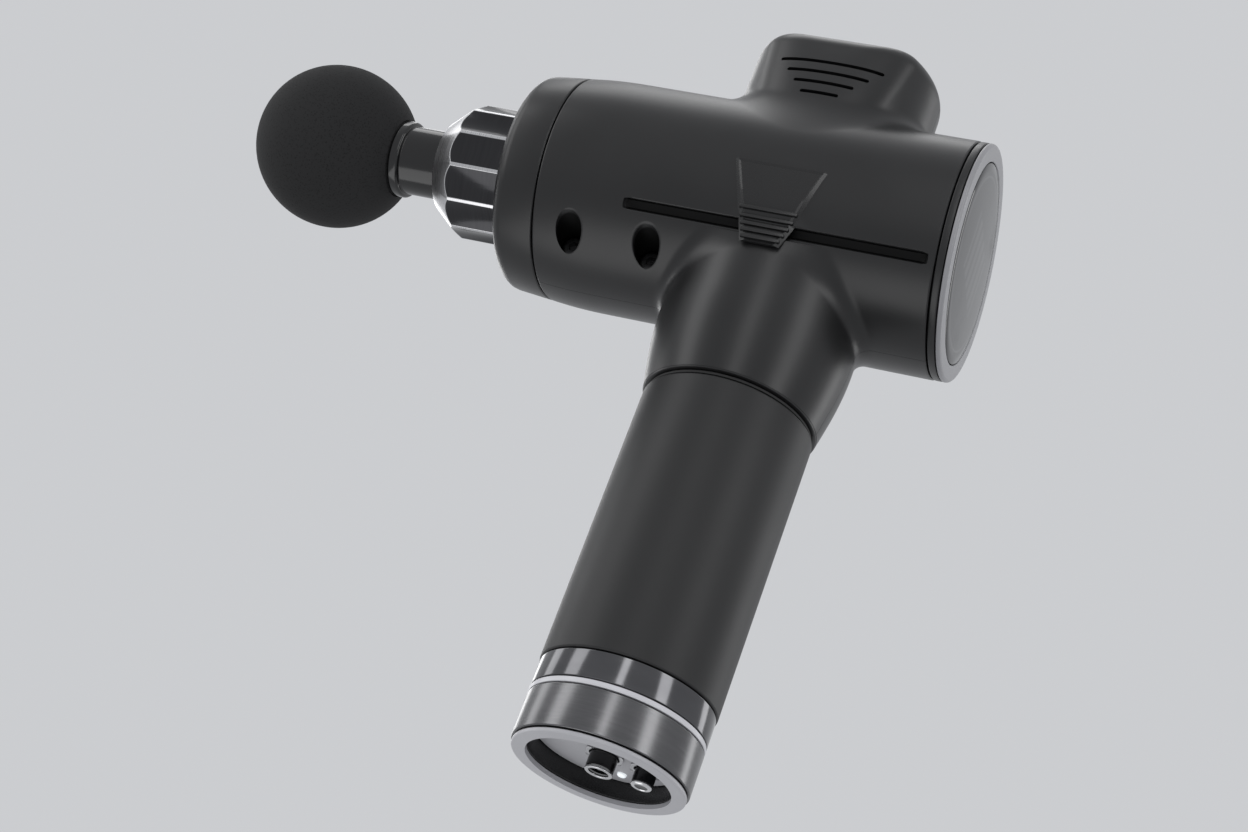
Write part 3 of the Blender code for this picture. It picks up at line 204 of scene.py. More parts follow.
def rod(name, radius, start, end, foot, direction, steps):
    """A plain rod between two places on an axis, to cut or to join with."""
    return turn(name, [(0, start), (radius, start), (radius, end), (0, end)], foot, direction, steps)


# %% [markdown]
# ## Cutting, softening and handing over
# Slots, holes and flutes are cut with Booleans, each applied at once so that the next tool meets plain
# mesh. No moulded or machined edge is truly sharp, so edges get a narrow bevel that catches the light. A
# finished piece is shaded smooth up to an angle, rides on its body and hides the solid it stands for.


# %% Booleans, bevels and blocks
def apply_modifier(obj, kind, **settings):
    modifier = obj.modifiers.new(kind.lower(), kind)
    for key, value in settings.items():
        setattr(modifier, key, value)
    alone(obj)
    bpy.ops.object.modifier_apply(modifier=modifier.name)
    return obj


def carve(obj, *tools, operation="DIFFERENCE"):
    """Cuts the tools out of the object, or joins them to it, and takes them away."""
    for tool in tools:
        apply_modifier(obj, "BOOLEAN", operation=operation, solver="MANIFOLD", object=tool)
        bpy.data.objects.remove(tool, do_unlink=True)
    return obj


def soften(obj, width, segments=3, angle=30):
    """Rounds every edge that turns by more than the angle."""
    limit = math.radians(angle)
    return apply_modifier(
        obj, "BEVEL", width=width * MM, segments=segments, limit_method="ANGLE", angle_limit=limit
    )


def block(name, low, high):
    """An upright block between two corners, in metres."""
    low, high = Vector(low), Vector(high)
    obj = fresh(name, bpy.ops.mesh.primitive_cube_add, size=1, location=(low + high) / 2)
    obj.scale = high - low
    bpy.ops.object.transform_apply()
    return obj


# %% Hand a finished piece over to its body
SLIVER = 0.0005
slots = {}


def hand_over(obj, body, slot, node, angle=35):
    """Cleans and shades the piece, lets it ride on its body in place of the node and prints its fit."""
    with edit_mode(obj):
        bpy.ops.mesh.remove_doubles(threshold=SLIVER * MM)
        bpy.ops.mesh.dissolve_degenerate(threshold=SLIVER * MM)
    bpy.ops.object.shade_smooth_by_angle(angle=math.radians(angle))
    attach(obj, body)
    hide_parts(node)
    slots[obj.name] = slot
    corners = [obj.matrix_world @ Vector(c) for c in obj.bound_box]
    low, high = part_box(node)
    off = 0
    for k in range(3):
        off = max(off, abs(min(c[k] for c in corners) - low[k]), abs(max(c[k] for c in corners) - high[k]))
    triangles = sum(len(p.vertices) - 2 for p in obj.data.polygons)
    print(f"{obj.name}: {triangles} triangles, its box is within {off / MM:.2f} mm of its solid's")
    return obj


def turned_piece(name, corners, axis, body, slot, node, steps=160, angle=35):
    """A piece that is finished when it comes off the lathe."""
    return hand_over(turn(name, corners, *axis, steps), body, slot, node, angle)


# %% [markdown]
# ## The housing's form
# The barrel, the neck under it and the motor's dome on top are one moulding with soft, even fillets where
# they meet. Booleans of cylinders leave hard creases there, and a bevel on such a crease breaks up on a
# fine mesh. So the form is written as a distance: each simple body says how far a point lies outside it,
# and a rounded union of two such distances is the fillet that a ball leaves when it rolls along the crease.

# %% Distances and their rounded unions
FRONT_SEAM = 65.3
REAR_SEAM = 45.5
BARREL_RADIUS = 32.5
BARREL_FRONT_RADIUS = 31.6
BARREL_TAPER = 15.3
NECK_RADIUS = 27.0
NECK_END_RADIUS = 23.8
NECK_SEAM = 103.5 - BARREL.z / MM
NECK_BLEND = 4.0
DOME_RADIUS = 27.0
DOME_TOP = 54.5
DOME_EDGE = 6.0
DOME_BLEND = 5.0
FLAT_TOP = 20.1
FLAT_DRAFT = math.radians(12.8)
FLAT_EDGE = 5.0
RUN_ON = 0.2


def rounded_union(a, b, radius):
    near_a = np.maximum(radius - a, 0)
    near_b = np.maximum(radius - b, 0)
    return np.maximum(radius, np.minimum(a, b)) - np.hypot(near_a, near_b)


def rounded_overlap(a, b, radius):
    return -rounded_union(-a, -b, radius)


# %% The housing's outside as a distance
def housing_distance(points):
    """How far points lie outside the housing. Taper and swell run on past their ends, for the trimming."""
    forward, side, lift = -points[:, 0], np.abs(points[:, 1]), points[:, 2]
    share = np.clip((forward - FRONT_SEAM + BARREL_TAPER) / BARREL_TAPER, 0, 1 + RUN_ON)
    barrel_radius = BARREL_RADIUS - (BARREL_RADIUS - BARREL_FRONT_RADIUS) * share**2
    barrel = np.hypot(side, lift) - barrel_radius
    swell_top = -BARREL_RADIUS - NECK_BLEND
    share = np.clip((lift - NECK_SEAM) / (swell_top - NECK_SEAM), -RUN_ON, 1)
    neck_radius = NECK_END_RADIUS + (NECK_RADIUS - NECK_END_RADIUS) * np.sin(share * math.pi / 2)
    upright = np.hypot(forward, side)
    neck = np.maximum(upright - neck_radius, lift)
    flat = (side - FLAT_TOP - (DOME_TOP - lift) * math.tan(FLAT_DRAFT)) * math.cos(FLAT_DRAFT)
    dome = rounded_overlap(upright - DOME_RADIUS, flat, FLAT_EDGE)
    dome = np.maximum(rounded_overlap(dome, lift - DOME_TOP, DOME_EDGE), -lift)
    return rounded_union(rounded_union(barrel, neck, NECK_BLEND), dome, DOME_BLEND)


print("the dome's top lies off the form by", float(housing_distance(np.array([[0, 0, DOME_TOP]]))[0]), "mm")

# %% [markdown]
# ## The housing's blank
# Three cylinders give the rough form. A voxel remesh welds them into one even skin, and then each point of
# the skin is moved along the distance's slope until it lies exactly on the form. Smoothing between the
# moves keeps the mesh even where the fillets pull it outwards.

# %% Weld three cylinders into one skin
SPARE = 4.0
VOXEL = 0.62


def column(radius, direction, start, end):
    return fresh(
        "column",
        bpy.ops.mesh.primitive_cylinder_add,
        vertices=96,
        radius=radius * MM,
        depth=(end - start) * MM,
        location=BARREL + direction * ((start + end) / 2 * MM),
        rotation=direction.to_track_quat("Z", "Y").to_euler(),
    )


columns = [
    column(BARREL_RADIUS, FORWARD, -REAR_SEAM - SPARE, FRONT_SEAM + SPARE),
    column(NECK_END_RADIUS + 1, UP, NECK_SEAM - SPARE, 0),
    column(DOME_RADIUS - 1, UP, 0, DOME_TOP),
]
for made in columns:
    made.select_set(True)
bpy.context.view_layer.objects.active = columns[0]
bpy.ops.object.join()
housing = bpy.context.object
housing.name = housing.data.name = "housing_shell_right"
bpy.ops.object.transform_apply()
housing.data.remesh_voxel_size = VOXEL * MM
housing.data.remesh_voxel_adaptivity = 0
bpy.ops.object.voxel_remesh()
print("housing blank:", len(housing.data.vertices), "points")


# %% Move the skin onto the form
def pull_onto_form(obj, rounds=4, probe=0.02):
    """Moves all but the skin's spare ends, and returns how far the worst point still lies off, in mm."""
    numbers = np.empty(len(obj.data.vertices) * 3)
    obj.data.vertices.foreach_get("co", numbers)
    points = (numbers.reshape(-1, 3) - np.array(BARREL)) / MM
    off_middle = np.abs(-points[:, 0] - (FRONT_SEAM - REAR_SEAM) / 2)
    moved = points[:, 2] > NECK_SEAM - SPARE / 2
    moved &= off_middle < (FRONT_SEAM + REAR_SEAM + SPARE) / 2
    skin = points[moved]
    for _ in range(rounds):
        slope = np.empty_like(skin)
        for k in range(3):
            step = np.eye(3)[k] * probe
            slope[:, k] = (housing_distance(skin + step) - housing_distance(skin - step)) / (2 * probe)
        skin -= slope * (housing_distance(skin) / (slope**2).sum(axis=1))[:, None]
    points[moved] = skin
    obj.data.vertices.foreach_set("co", (points * MM + np.array(BARREL)).ravel())
    obj.data.update()
    return np.abs(housing_distance(skin)).max()


for _ in range(4):
    pull_onto_form(housing)
    with edit_mode(housing):
        bpy.ops.mesh.vertices_smooth(factor=0.5, repeat=4)
print("housing skin lies within", round(float(pull_onto_form(housing)), 4), "mm of its form")

# %% [markdown]
# ## Ends, hollow and openings
# The skin runs past its three open ends, so turned tools trim it to the seams and leave each edge with a
# small round. The hollow is the space that the solids leave too: three bores, less the bulkhead behind the
# nose, the shelf under the motor and the bosses for two screws.

# %% Trim the ends with turned tools
EDGE = 0.5
EDGE_BOW = 0.3


def end_tool(name, radius, direction, seam):
    outside = radius + SPARE / 2
    beyond = seam + 2 * SPARE
    corners = [
        (0, seam),
        (radius - EDGE, seam),
        (radius - EDGE_BOW * EDGE, seam - EDGE_BOW * EDGE),
        (radius, seam - EDGE),
        (outside, seam - EDGE),
        (outside, beyond),
        (0, beyond),
    ]
    return turn(name, corners, BARREL, direction, steps=192)


carve(
    housing,
    end_tool("front_end", BARREL_FRONT_RADIUS, FORWARD, FRONT_SEAM),
    end_tool("rear_end", BARREL_RADIUS, -FORWARD, REAR_SEAM),
    end_tool("neck_end", NECK_END_RADIUS, -UP, -NECK_SEAM),
)
print("trimmed housing:", len(housing.data.polygons), "faces")

# %% Make the hollow
BARREL_BORE = 28.7
DOME_BORE = 24.6
DOME_WALL = 2.4
TUBE_SEAT = 21.8
TUBE_BORE = 20.4
TUBE_TOP = 118.3 - BARREL.z / MM
REACH = 300 * MM

hollow = rod("hollow", BARREL_BORE, 80, -60, *LEVEL_AXIS, 96)
neck_corners = [
    (0, 0),
    (TUBE_BORE, 0),
    (TUBE_BORE, TUBE_TOP),
    (TUBE_SEAT, TUBE_TOP),
    (TUBE_SEAT, -80),
    (0, -80),
]
neck_bore = turn("neck_bore", neck_corners, BARREL, UP, steps=96)
dome_roof = DOME_TOP - DOME_WALL
dome_bore = turn(
    "dome_bore", [(0, 0), (DOME_BORE, 0), (DOME_BORE, dome_roof, 2), (0, dome_roof)], BARREL, UP, steps=96
)
for facing in (math.pi, 0):
    slab = block("slab", (-REACH, 0, -REACH), (REACH, REACH, REACH))
    lean = Matrix.Rotation(facing, 4, "Z") @ Matrix.Rotation(FLAT_DRAFT, 4, "X")
    inner_top = Vector((0, math.cos(facing) * (FLAT_TOP - DOME_WALL), DOME_TOP)) * MM
    slab.data.transform(Matrix.Translation(BARREL + inner_top) @ lean)
    carve(dome_bore, slab)
carve(hollow, neck_bore, dome_bore, operation="UNION")
print("hollow:", len(hollow.data.polygons), "faces")

# %% Leave the walls inside the hollow
NOSE_SEAT = 14.9
SCREWS = (54.4, 32.0)
SCREW_LIFT = -25.6
BOSS_RADIUS = 5.5
THROUGH = 40.0


def screw_foot(forward):
    """Where a screw's axis crosses the parting plane."""
    return BARREL + Vector((-forward, 0, SCREW_LIFT)) * MM


def wall(name, bore, front, back, direction):
    """A flat wall across a bore, with a round opening in it."""
    corners = [(bore, front), (THROUGH, front), (THROUGH, back), (bore, back)]
    return turn(name, corners, BARREL, direction, steps=96)


bosses = []
for forward in SCREWS:
    foot = screw_foot(forward)
    bosses.append(rod("boss", BOSS_RADIUS, THROUGH, -THROUGH, foot, NEAR, 48))
    low = foot + Vector((-BOSS_RADIUS, -THROUGH, -THROUGH / 2)) * MM
    high = foot + Vector((BOSS_RADIUS, THROUGH, 0)) * MM
    bosses.append(block("boss_foot", low, high))
bulkhead = wall("bulkhead", NOSE_SEAT, 62.3, 59.0, FORWARD)
shelf = wall("shelf", 19, 10.7, 8.0, UP)
carve(hollow, bulkhead, shelf, *bosses)
carve(housing, hollow)
print("hollow housing:", len(housing.data.polygons), "faces")

# %% [markdown]
# ## Vents, side grooves and screw holes
# Four slots on each of the dome's flats get shorter downwards. Each is cut by a block whose edges are
# rounded first, so the slot's ends are round. A narrow groove with a soft mouth runs along each side of
# the barrel: its tool is one section that is extruded from end to end and rises out of the barrel where
# the groove runs out. Two deep holes lead to the screws on the near side.

# %% Cut the vents
VENTS = 4
VENT_TOP = 41.0
VENT_PITCH = 4.0
VENT_HEIGHT = 1.2
VENT_LONGEST = 29.4
VENT_SHORTER = 6.2
VENT_ROUND = 0.45 * VENT_HEIGHT


def vent_tool(lift, length):
    """A block with rounded edges, right through the dome."""
    corner = Vector((length / 2, THROUGH, VENT_HEIGHT / 2)) * MM
    centre = BARREL + UP * (lift * MM)
    tool = block("vent", centre - corner, centre + corner)
    with edit_mode(tool):
        bpy.ops.mesh.bevel(offset=VENT_ROUND * MM, segments=6, affect="EDGES")
    return tool


for k in range(VENTS):
    carve(housing, vent_tool(VENT_TOP - k * VENT_PITCH, VENT_LONGEST - k * VENT_SHORTER))
print("housing with vents:", len(housing.data.polygons), "faces")

# %% Sweep a tool for the grooves
GROOVE_LIFT = -18.5
GROOVE_FRONT = 40.0
GROOVE_REAR = -43.7
GROOVE_FLOOR = -2.2
GROOVE_HALF = [
    (2.1, 3.0),
    (2.1, 0.03),
    (1.8, -0.06),
    (1.55, -0.28),
    (1.4, -0.7),
    (1.32, -1.6),
    (1.0, -2.1),
]
RUN_OUT = [(0, 2.5), (0.4, 1.4), (0.9, 0.6), (1.6, 0.18), (2.5, 0)]


def groove_tool(side):
    """The groove's section, filled and extruded along the barrel, lifted out of it at both ends."""
    across = math.sqrt(BARREL_RADIUS**2 - GROOVE_LIFT**2)
    middle_line = Vector((0, side * across, GROOVE_LIFT))
    outward = middle_line.normalized()
    along = outward.cross(FORWARD)
    section = [(-u, v) for u, v in GROOVE_HALF] + [(0, GROOVE_FLOOR)] + GROOVE_HALF[::-1]
    stations = [(GROOVE_FRONT - step, rise) for step, rise in RUN_OUT]
    stations += [(GROOVE_REAR + step, rise) for step, rise in RUN_OUT[::-1]]
    centres = [BARREL + (middle_line + FORWARD * f + outward * rise) * MM for f, rise in stations]
    tool = fresh("groove", bpy.ops.mesh.primitive_circle_add, vertices=len(section), fill_type="NGON")
    for vertex, (u, v) in zip(tool.data.vertices, section):
        vertex.co = centres[0] + (along * u + outward * v) * MM
    with edit_mode(tool):
        extrude_along(centres)
        face_out()
    return tool


carve(housing, groove_tool(-1), groove_tool(1))
print("housing with grooves:", len(housing.data.polygons), "faces")

# %% Drill the screw holes
HOLE_RADIUS = 3.7
HOLE_FLOOR = 8.7
SHANK_HOLE = 1.8
SHANK_HOLE_END = -9.3
MOUTH = math.sqrt(BARREL_RADIUS**2 - SCREW_LIFT**2)
LIP = [(4.4, 3.0), (4.4, 0.03), (4.1, -0.03), (3.88, -0.16), (3.75, -0.36), (HOLE_RADIUS, -0.6)]


def screw_hole(forward):
    """A stepped drill whose mouth is bent onto the barrel, so that its rounded lip is even all round."""
    lip = [(radius, MOUTH + rise) for radius, rise in LIP]
    corners = [
        (0, lip[0][1]),
        *lip,
        (HOLE_RADIUS, HOLE_FLOOR),
        (SHANK_HOLE, HOLE_FLOOR),
        (SHANK_HOLE, SHANK_HOLE_END),
        (0, SHANK_HOLE_END),
    ]
    tool = turn("screw_hole", corners, screw_foot(forward), NEAR, steps=96)
    for vertex in tool.data.vertices:
        lift = (vertex.co.z - BARREL.z) / MM
        if -vertex.co.y / MM > MOUTH - 1:
            vertex.co.y -= (math.sqrt(BARREL_RADIUS**2 - lift**2) - MOUTH) * MM
    return tool


carve(housing, *[screw_hole(forward) for forward in SCREWS])
print("housing with screw holes:", len(housing.data.polygons), "faces")

# %% [markdown]
# The moulding is made in two halves. Cutting the one form with two blocks leaves each half closed, with a
# hairline of room between them along the parting line.

# %% Part the halves
PARTING = 0.05 * MM


def copied(obj, name):
    """A second object with a mesh of its own."""
    twin = obj.copy()
    twin.data = obj.data.copy()
    twin.name = twin.data.name = name
    bpy.context.collection.objects.link(twin)
    return twin


far_half = copied(housing, "housing_shell_left")
carve(housing, block("far_side", (-REACH, -PARTING, -REACH), (REACH, REACH, REACH)))
carve(far_half, block("near_side", (-REACH, -REACH, -REACH), (REACH, PARTING, REACH)))
hand_over(housing, "body", "shell", "housing_right", angle=28)
hand_over(far_half, "body", "shell", "housing_left", angle=28)

# %% [markdown]
# ## Front collar and fluted nose
# The collar closes the barrel with a generous round. The nose is a turned metal ring: its front is
# chamfered, and twelve shallow flutes are milled along it for grip, which leaves a scalloped edge on the
# chamfer. The same round tool is set against it twelve times, and a fine bevel then draws the ridges.

# %% Turn the collar
SPIGOT = 28.4
COLLAR_FRONT = 78.8
COLLAR_BACK = 65.6

collar_corners = [
    (NOSE_SEAT, COLLAR_FRONT, 0.3),
    (30.3, COLLAR_FRONT, 4.0),
    (BARREL_FRONT_RADIUS, COLLAR_BACK, 0.5),
    (SPIGOT, COLLAR_BACK),
    (SPIGOT, 62.8),
    (25.5, 62.8),
    (25.5, 75.9),
    (NOSE_SEAT, 75.9),
]
turned_piece("collar", collar_corners, LEVEL_AXIS, "body", "shell", "front_collar")

# %% Turn the nose and mill its flutes
FLUTES = 12
FLUTE_RADIUS = 16.8
FLUTE_DEPTH = 1.2
NOSE_RADIUS = 19.3
NOSE_BORE = 13.0
NOSE_LIP = 13.2
NOSE_FRONT = 104.0
NOSE_BACK = 79.1
CHAMFER = 96.5

nose_corners = [
    (NOSE_BORE, NOSE_FRONT, 0.08),
    (NOSE_LIP, NOSE_FRONT, 0.08),
    (NOSE_RADIUS, CHAMFER, 0.3),
    (NOSE_RADIUS, NOSE_BACK, 0.4),
    (NOSE_SEAT, NOSE_BACK),
    (NOSE_SEAT, 85.6),
    (NOSE_BORE, 85.6),
]
nose = turn("nose", nose_corners, *LEVEL_AXIS, steps=192)
for k in range(FLUTES):
    angle = 2 * math.pi * (k + 0.5) / FLUTES
    outward = Vector((0, math.sin(angle), math.cos(angle)))
    foot = BARREL + outward * ((NOSE_RADIUS - FLUTE_DEPTH + FLUTE_RADIUS) * MM)
    carve(nose, rod("flute", FLUTE_RADIUS, 110, 70, foot, FORWARD, 160))
with edit_mode(nose):
    bpy.ops.mesh.remove_doubles(threshold=0.01 * MM)
    bpy.ops.mesh.dissolve_limited(angle_limit=math.radians(0.3))
soften(nose, 0.18, segments=2, angle=14)
hand_over(nose, "body", "brushed", "nose_collar", angle=24)

# %% The rubber seal inside the nose
seal_corners = [
    (11.3, 102.2, 0.5),
    (12.7, 102.2, 0.4),
    (12.7, 98.2, 0.4),
    (11.3, 98.2, 0.5),
    (11.3, 99.6),
    (11.8, 100.2, 0.3),
    (11.3, 100.8),
]
turned_piece("seal", seal_corners, LEVEL_AXIS, "body", "rubber", "nose_seal", steps=96)

# %% [markdown]
# ## Plunger and massage head
# The plunger slides out of the nose, so its turned outside shows at the end of its stroke. The head is a
# gloss stem with a flange and two retaining rings, and a ball of dense foam pressed onto it. Foam is soft,
# so the ball is its own padded piece: a crowned form, flat only where it sits on the flange.

# %% Turn the plunger and cut its fork
FORK_HALF = 3.6
WRIST = BARREL + FORWARD * (42.0 * MM)
WRIST_BORE = 3.3

plunger_corners = [
    (7.3, 103.7, 0.4),
    (11.0, 103.7, 0.5),
    (11.0, 36.0, 0.4),
    (0, 36.0),
    (0, 76.7),
    (7.3, 76.7, 0.4),
]
plunger = turn("plunger_body", plunger_corners, *LEVEL_AXIS, steps=96)
low = BARREL + Vector((-50.0, -THROUGH, -FORK_HALF)) * MM
high = BARREL + Vector((-30.0, THROUGH, FORK_HALF)) * MM
carve(plunger, block("fork", low, high), rod("wrist_bore", WRIST_BORE, 30, -30, WRIST, UP, 48))
hand_over(plunger, "piston", "alloy", "plunger")

# %% Turn the stem and its rings
RINGS = (99.0, 87.0)
RING_RADIUS = 6.4
WIRE_RADIUS = 0.6
SHANK = 7.0
RING_GROOVE = 5.5
FLANGE = 11.0
FLANGE_FRONT = 119.2
FLANGE_BACK = 116.2

shank_corners = []
for forward in RINGS:
    front, back = forward + 0.9, forward - 0.9
    shank_corners += [(SHANK, front, 0.15), (RING_GROOVE, front), (RING_GROOVE, back), (SHANK, back, 0.15)]
stem_corners = [
    (0, 135.5),
    (8.0, 135.5, 0.6),
    (8.0, FLANGE_FRONT),
    (FLANGE, FLANGE_FRONT, 0.5),
    (FLANGE, FLANGE_BACK, 0.9),
    (9.8, FLANGE_BACK, 0.25),
    (9.8, 104.0, 0.6),
    (SHANK, 104.0, 0.3),
    *shank_corners,
    (SHANK, 80.0, 0.8),
    (0, 80.0),
]
turned_piece("stem", stem_corners, LEVEL_AXIS, "head", "gloss", "head_stem", steps=128)
for k, forward in enumerate(RINGS, 1):
    wire = []
    for angle in np.arange(16) * math.pi / 8:
        wire.append((RING_RADIUS + WIRE_RADIUS * math.cos(angle), forward + WIRE_RADIUS * math.sin(angle)))
    turned_piece(
        f"retaining_ring_{k}", wire, LEVEL_AXIS, "head", "rubber", f"head_ring_{k}", steps=72, angle=60
    )

# %% Form the foam ball
BALL = 140.5
BALL_RADIUS = 23.7
BALL_STEPS = 64
BALL_BORE = 8.3
SEAT = BALL - math.sqrt(BALL_RADIUS**2 - FLANGE**2)

ball_corners = []
for k in range(BALL_STEPS + 1):
    angle = math.pi * k / BALL_STEPS
    forward = BALL + BALL_RADIUS * math.cos(angle)
    if forward < SEAT:
        break
    ball_corners.append((BALL_RADIUS * math.sin(angle), forward))
ball_corners += [(FLANGE + 0.2, SEAT, 0.8), (BALL_BORE, SEAT, 0.4), (BALL_BORE, 135.8), (0, 135.8)]
ball = turned_piece("foam_ball", ball_corners, LEVEL_AXIS, "head", "foam", "head_ball", angle=50)

# %% [markdown]
# ## Rear cap
# The barrel ends in a thin band, a pale bezel and a slightly domed display lens. All three are round, so
# they are turned. What the lens shows is left to its finish.

# %% Turn the band, bezel and lens
CAP_RADIUS = 32.4
BEZEL_BORE = 27.6
BEZEL_BACK = -49.5
LENS_RADIUS = 27.3
LENS_CROWN = 0.5
CROWN_STEPS = 12

band_corners = [
    (SPIGOT, -41.5),
    (SPIGOT, -45.8),
    (CAP_RADIUS, -45.8, 0.35),
    (CAP_RADIUS, -47.8, 0.35),
    (BEZEL_BORE, -47.8),
    (BEZEL_BORE, -46.2),
    (25.7, -46.2),
    (25.7, -41.5),
]
turned_piece("rear_cap_band", band_corners, LEVEL_AXIS, "body", "shell", "rear_band")
bezel_corners = [
    (CAP_RADIUS, -48.1, 0.25),
    (CAP_RADIUS, BEZEL_BACK, 1.0),
    (BEZEL_BORE, BEZEL_BACK, 0.35),
    (BEZEL_BORE, -48.1),
]
turned_piece("rear_cap_bezel", bezel_corners, LEVEL_AXIS, "body", "grey", "rear_bezel")
lens_corners = [(0, -46.5), (LENS_RADIUS, -46.5), (LENS_RADIUS, BEZEL_BACK + 0.2, 0.15)]
for k in range(CROWN_STEPS):
    radius = (LENS_RADIUS - 0.3) * (1 - k / CROWN_STEPS)
    lens_corners.append((radius, BEZEL_BACK - LENS_CROWN * (1 - (radius / LENS_RADIUS) ** 2)))
lens_corners.append((0, BEZEL_BACK - LENS_CROWN))
turned_piece("lens", lens_corners, LEVEL_AXIS, "body", "lens", "display_lens")

# %% [markdown]
# ## Handle
# A dark ring closes the joint under the neck. Below it come the soft-touch grip, a ring of black chrome, a
# thin pale light guide and a brushed band. Each is a short tube, and what makes them read as separate
# parts is the small round on each of their edges, which leaves a fine dark line between them.


# %% Turn the tubes of the handle
def measures(node):
    """A round solid's radius, bottom and top."""
    low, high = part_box(node)
    return (high.x - low.x) / 2 / MM, low.z / MM, high.z / MM


def tube(name, node, slot, inner, edge):
    """A tube as high and wide as its solid, with rounded outer edges."""
    radius, bottom, top = measures(node)
    corners = [(radius, top, edge), (radius, bottom, edge), (inner, bottom), (inner, top)]
    return turned_piece(name, corners, UPRIGHT_AXIS, "body", slot, node)


CUP_BORE = 18.8

tube("seam_ring", "neck_ring", "rubber", TUBE_SEAT, 0.2)
tube("grip", "grip_sleeve", "grip", TUBE_SEAT, 0.6)
tube("black_chrome_ring", "mirror_ring", "chrome", TUBE_SEAT, 0.25)
tube("light_guide", "light_ring", "light", TUBE_SEAT, 0.2)
tube("brushed_band", "base_band", "brushed", TUBE_SEAT, 0.35)
tube("foot_rim", "base_rim", "grey", CUP_BORE, 0.4)

# %% [markdown]
# ## Recess under the handle
# The base is hollowed, with a pale plate as its floor. On the plate stand the charging socket, with a bright
# tip and a nut, the power button in a nut of its own, and a small lamp. The nuts are six-sided: a turned
# ring is cut down to what it shares with a rod that is turned in only six steps.

# %% The cup and its plate, with holes
BUTTON = HANDLE + Vector((10.4, 3.3, 0)) * MM
LAMP = HANDLE + Vector((1.9, 13.1, 0)) * MM
SOCKET_HOLE = 3.9
BUTTON_HOLE = 3.2
LAMP_HOLE = 1.5

cup_corners = [(0, 9.4), (19.7, 9.4), (19.7, 1.5), (CUP_BORE, 1.5, 0.2), (CUP_BORE, 7.9), (0, 7.9)]
cup = turn("recess_cup", cup_corners, *UPRIGHT_AXIS, steps=128)
plate_corners = [(0, 7.6), (18.5, 7.6), (18.5, 6.0, 0.4), (0, 6.0)]
plate = turn("recess_plate", plate_corners, *UPRIGHT_AXIS, steps=128)
for foot, radius in ((HANDLE, SOCKET_HOLE), (BUTTON, BUTTON_HOLE), (LAMP, LAMP_HOLE)):
    for drilled in (cup, plate):
        carve(drilled, rod("drill", radius, 30, -5, foot, UP, 64))
hand_over(cup, "body", "trim", "base_cup")
hand_over(plate, "body", "grey", "base_plate")

# %% The charging socket and its bright tip
SOCKET_RADIUS = 3.6
SOCKET_BORE = 2.6
SOCKET_MOUTH = 1.2

socket_corners = [
    (0, 15.7),
    (SOCKET_RADIUS, 15.7),
    (SOCKET_RADIUS, 11.2),
    (5.2, 11.2),
    (5.2, 9.7),
    (SOCKET_RADIUS, 9.7),
    (SOCKET_RADIUS, SOCKET_MOUTH),
    (SOCKET_BORE, SOCKET_MOUTH),
    (SOCKET_BORE, 10.2),
    (1.0, 10.2),
    (1.0, SOCKET_MOUTH, 0.5),
    (0, SOCKET_MOUTH),
]
turned_piece("charging_socket", socket_corners, UPRIGHT_AXIS, "body", "gloss", "dc_socket", steps=96)
tip_corners = [
    (SOCKET_RADIUS, 0.9, 0.2),
    (SOCKET_RADIUS, 0.3, 0.25),
    (SOCKET_BORE, 0.3, 0.25),
    (SOCKET_BORE, 0.9, 0.1),
]
turned_piece("socket_tip", tip_corners, UPRIGHT_AXIS, "body", "steel", "dc_socket_ring", steps=96)

# %% Two six-sided nuts
NUT_POINT = 0.15


def nut(name, node, foot, bore):
    """The hexagon's points lie just outside the ring, so that no sliver is left there."""
    radius, bottom, top = measures(node)
    corners = [(radius, top, 0.1), (radius, bottom, 0.25), (bore, bottom, 0.15), (bore, top)]
    ring = turn(name, corners, foot, UP)
    carve(ring, rod("hexagon", radius + NUT_POINT, 20, -5, foot, UP, 6), operation="INTERSECT")
    return hand_over(ring, "body", "steel", node, angle=30)


nut("socket_nut", "dc_nut", HANDLE, SOCKET_HOLE)
nut("button_collar_nut", "button_nut", BUTTON, BUTTON_HOLE)

# %% The button and the lamp
button_corners = [
    (0, 11.1),
    (4.0, 11.1, 0.3),
    (4.0, 9.7, 0.3),
    (2.8, 9.7),
    (2.8, 0.6, 0.6),
    (1.9, 0.6, 0.2),
    (1.6, 0.85, 0.2),
    (0, 1.0),
]
turned_piece("button_cap", button_corners, (BUTTON, UP), "button", "gloss", "power_button", steps=96)
lamp_corners = [(0, 9.4), (1.2, 9.4), (1.2, 5.4, 0.5), (0, 5.4)]
turned_piece("charge_lamp", lamp_corners, (LAMP, UP), "body", "light", "charge_led", steps=48)

# %% [markdown]
# ## Ribbed side plates
# On each side a thin trapezoid follows the barrel and ends over the neck. A grid is laid on the barrel's
# curve and extruded outwards, its outer face is drawn in for a slanted edge, a narrow rim is left by
# insetting that face, and five ribs cross its lower end. The near plate is modelled, and the far one is
# its mirrored copy.

# %% The plate's outline and height
PLATE_TOP = -2.2
PLATE_BOTTOM = -24.2
PLATE_HEIGHT = PLATE_TOP - PLATE_BOTTOM
PLATE_NARROW = 5.4
PLATE_WIDE = 12.6
PLATE_INNER = BARREL_RADIUS + 0.05
PLATE_DROP = NECK_RADIUS + 0.6
PLATE_STEP = 0.8
PLATE_RISE_FOOT = 1.1
PLATE_RISE_TOP = 0.55
PLATE_CHAMFER = 1.2
PLATE_RIM = 0.7
PLATE_RIM_DEPTH = 0.22


def plate_share(lift):
    """0 at the plate's lower end, 1 at its top."""
    return (lift - PLATE_BOTTOM) / PLATE_HEIGHT


def plate_half_width(lift):
    return PLATE_NARROW + (PLATE_WIDE - PLATE_NARROW) * plate_share(lift)


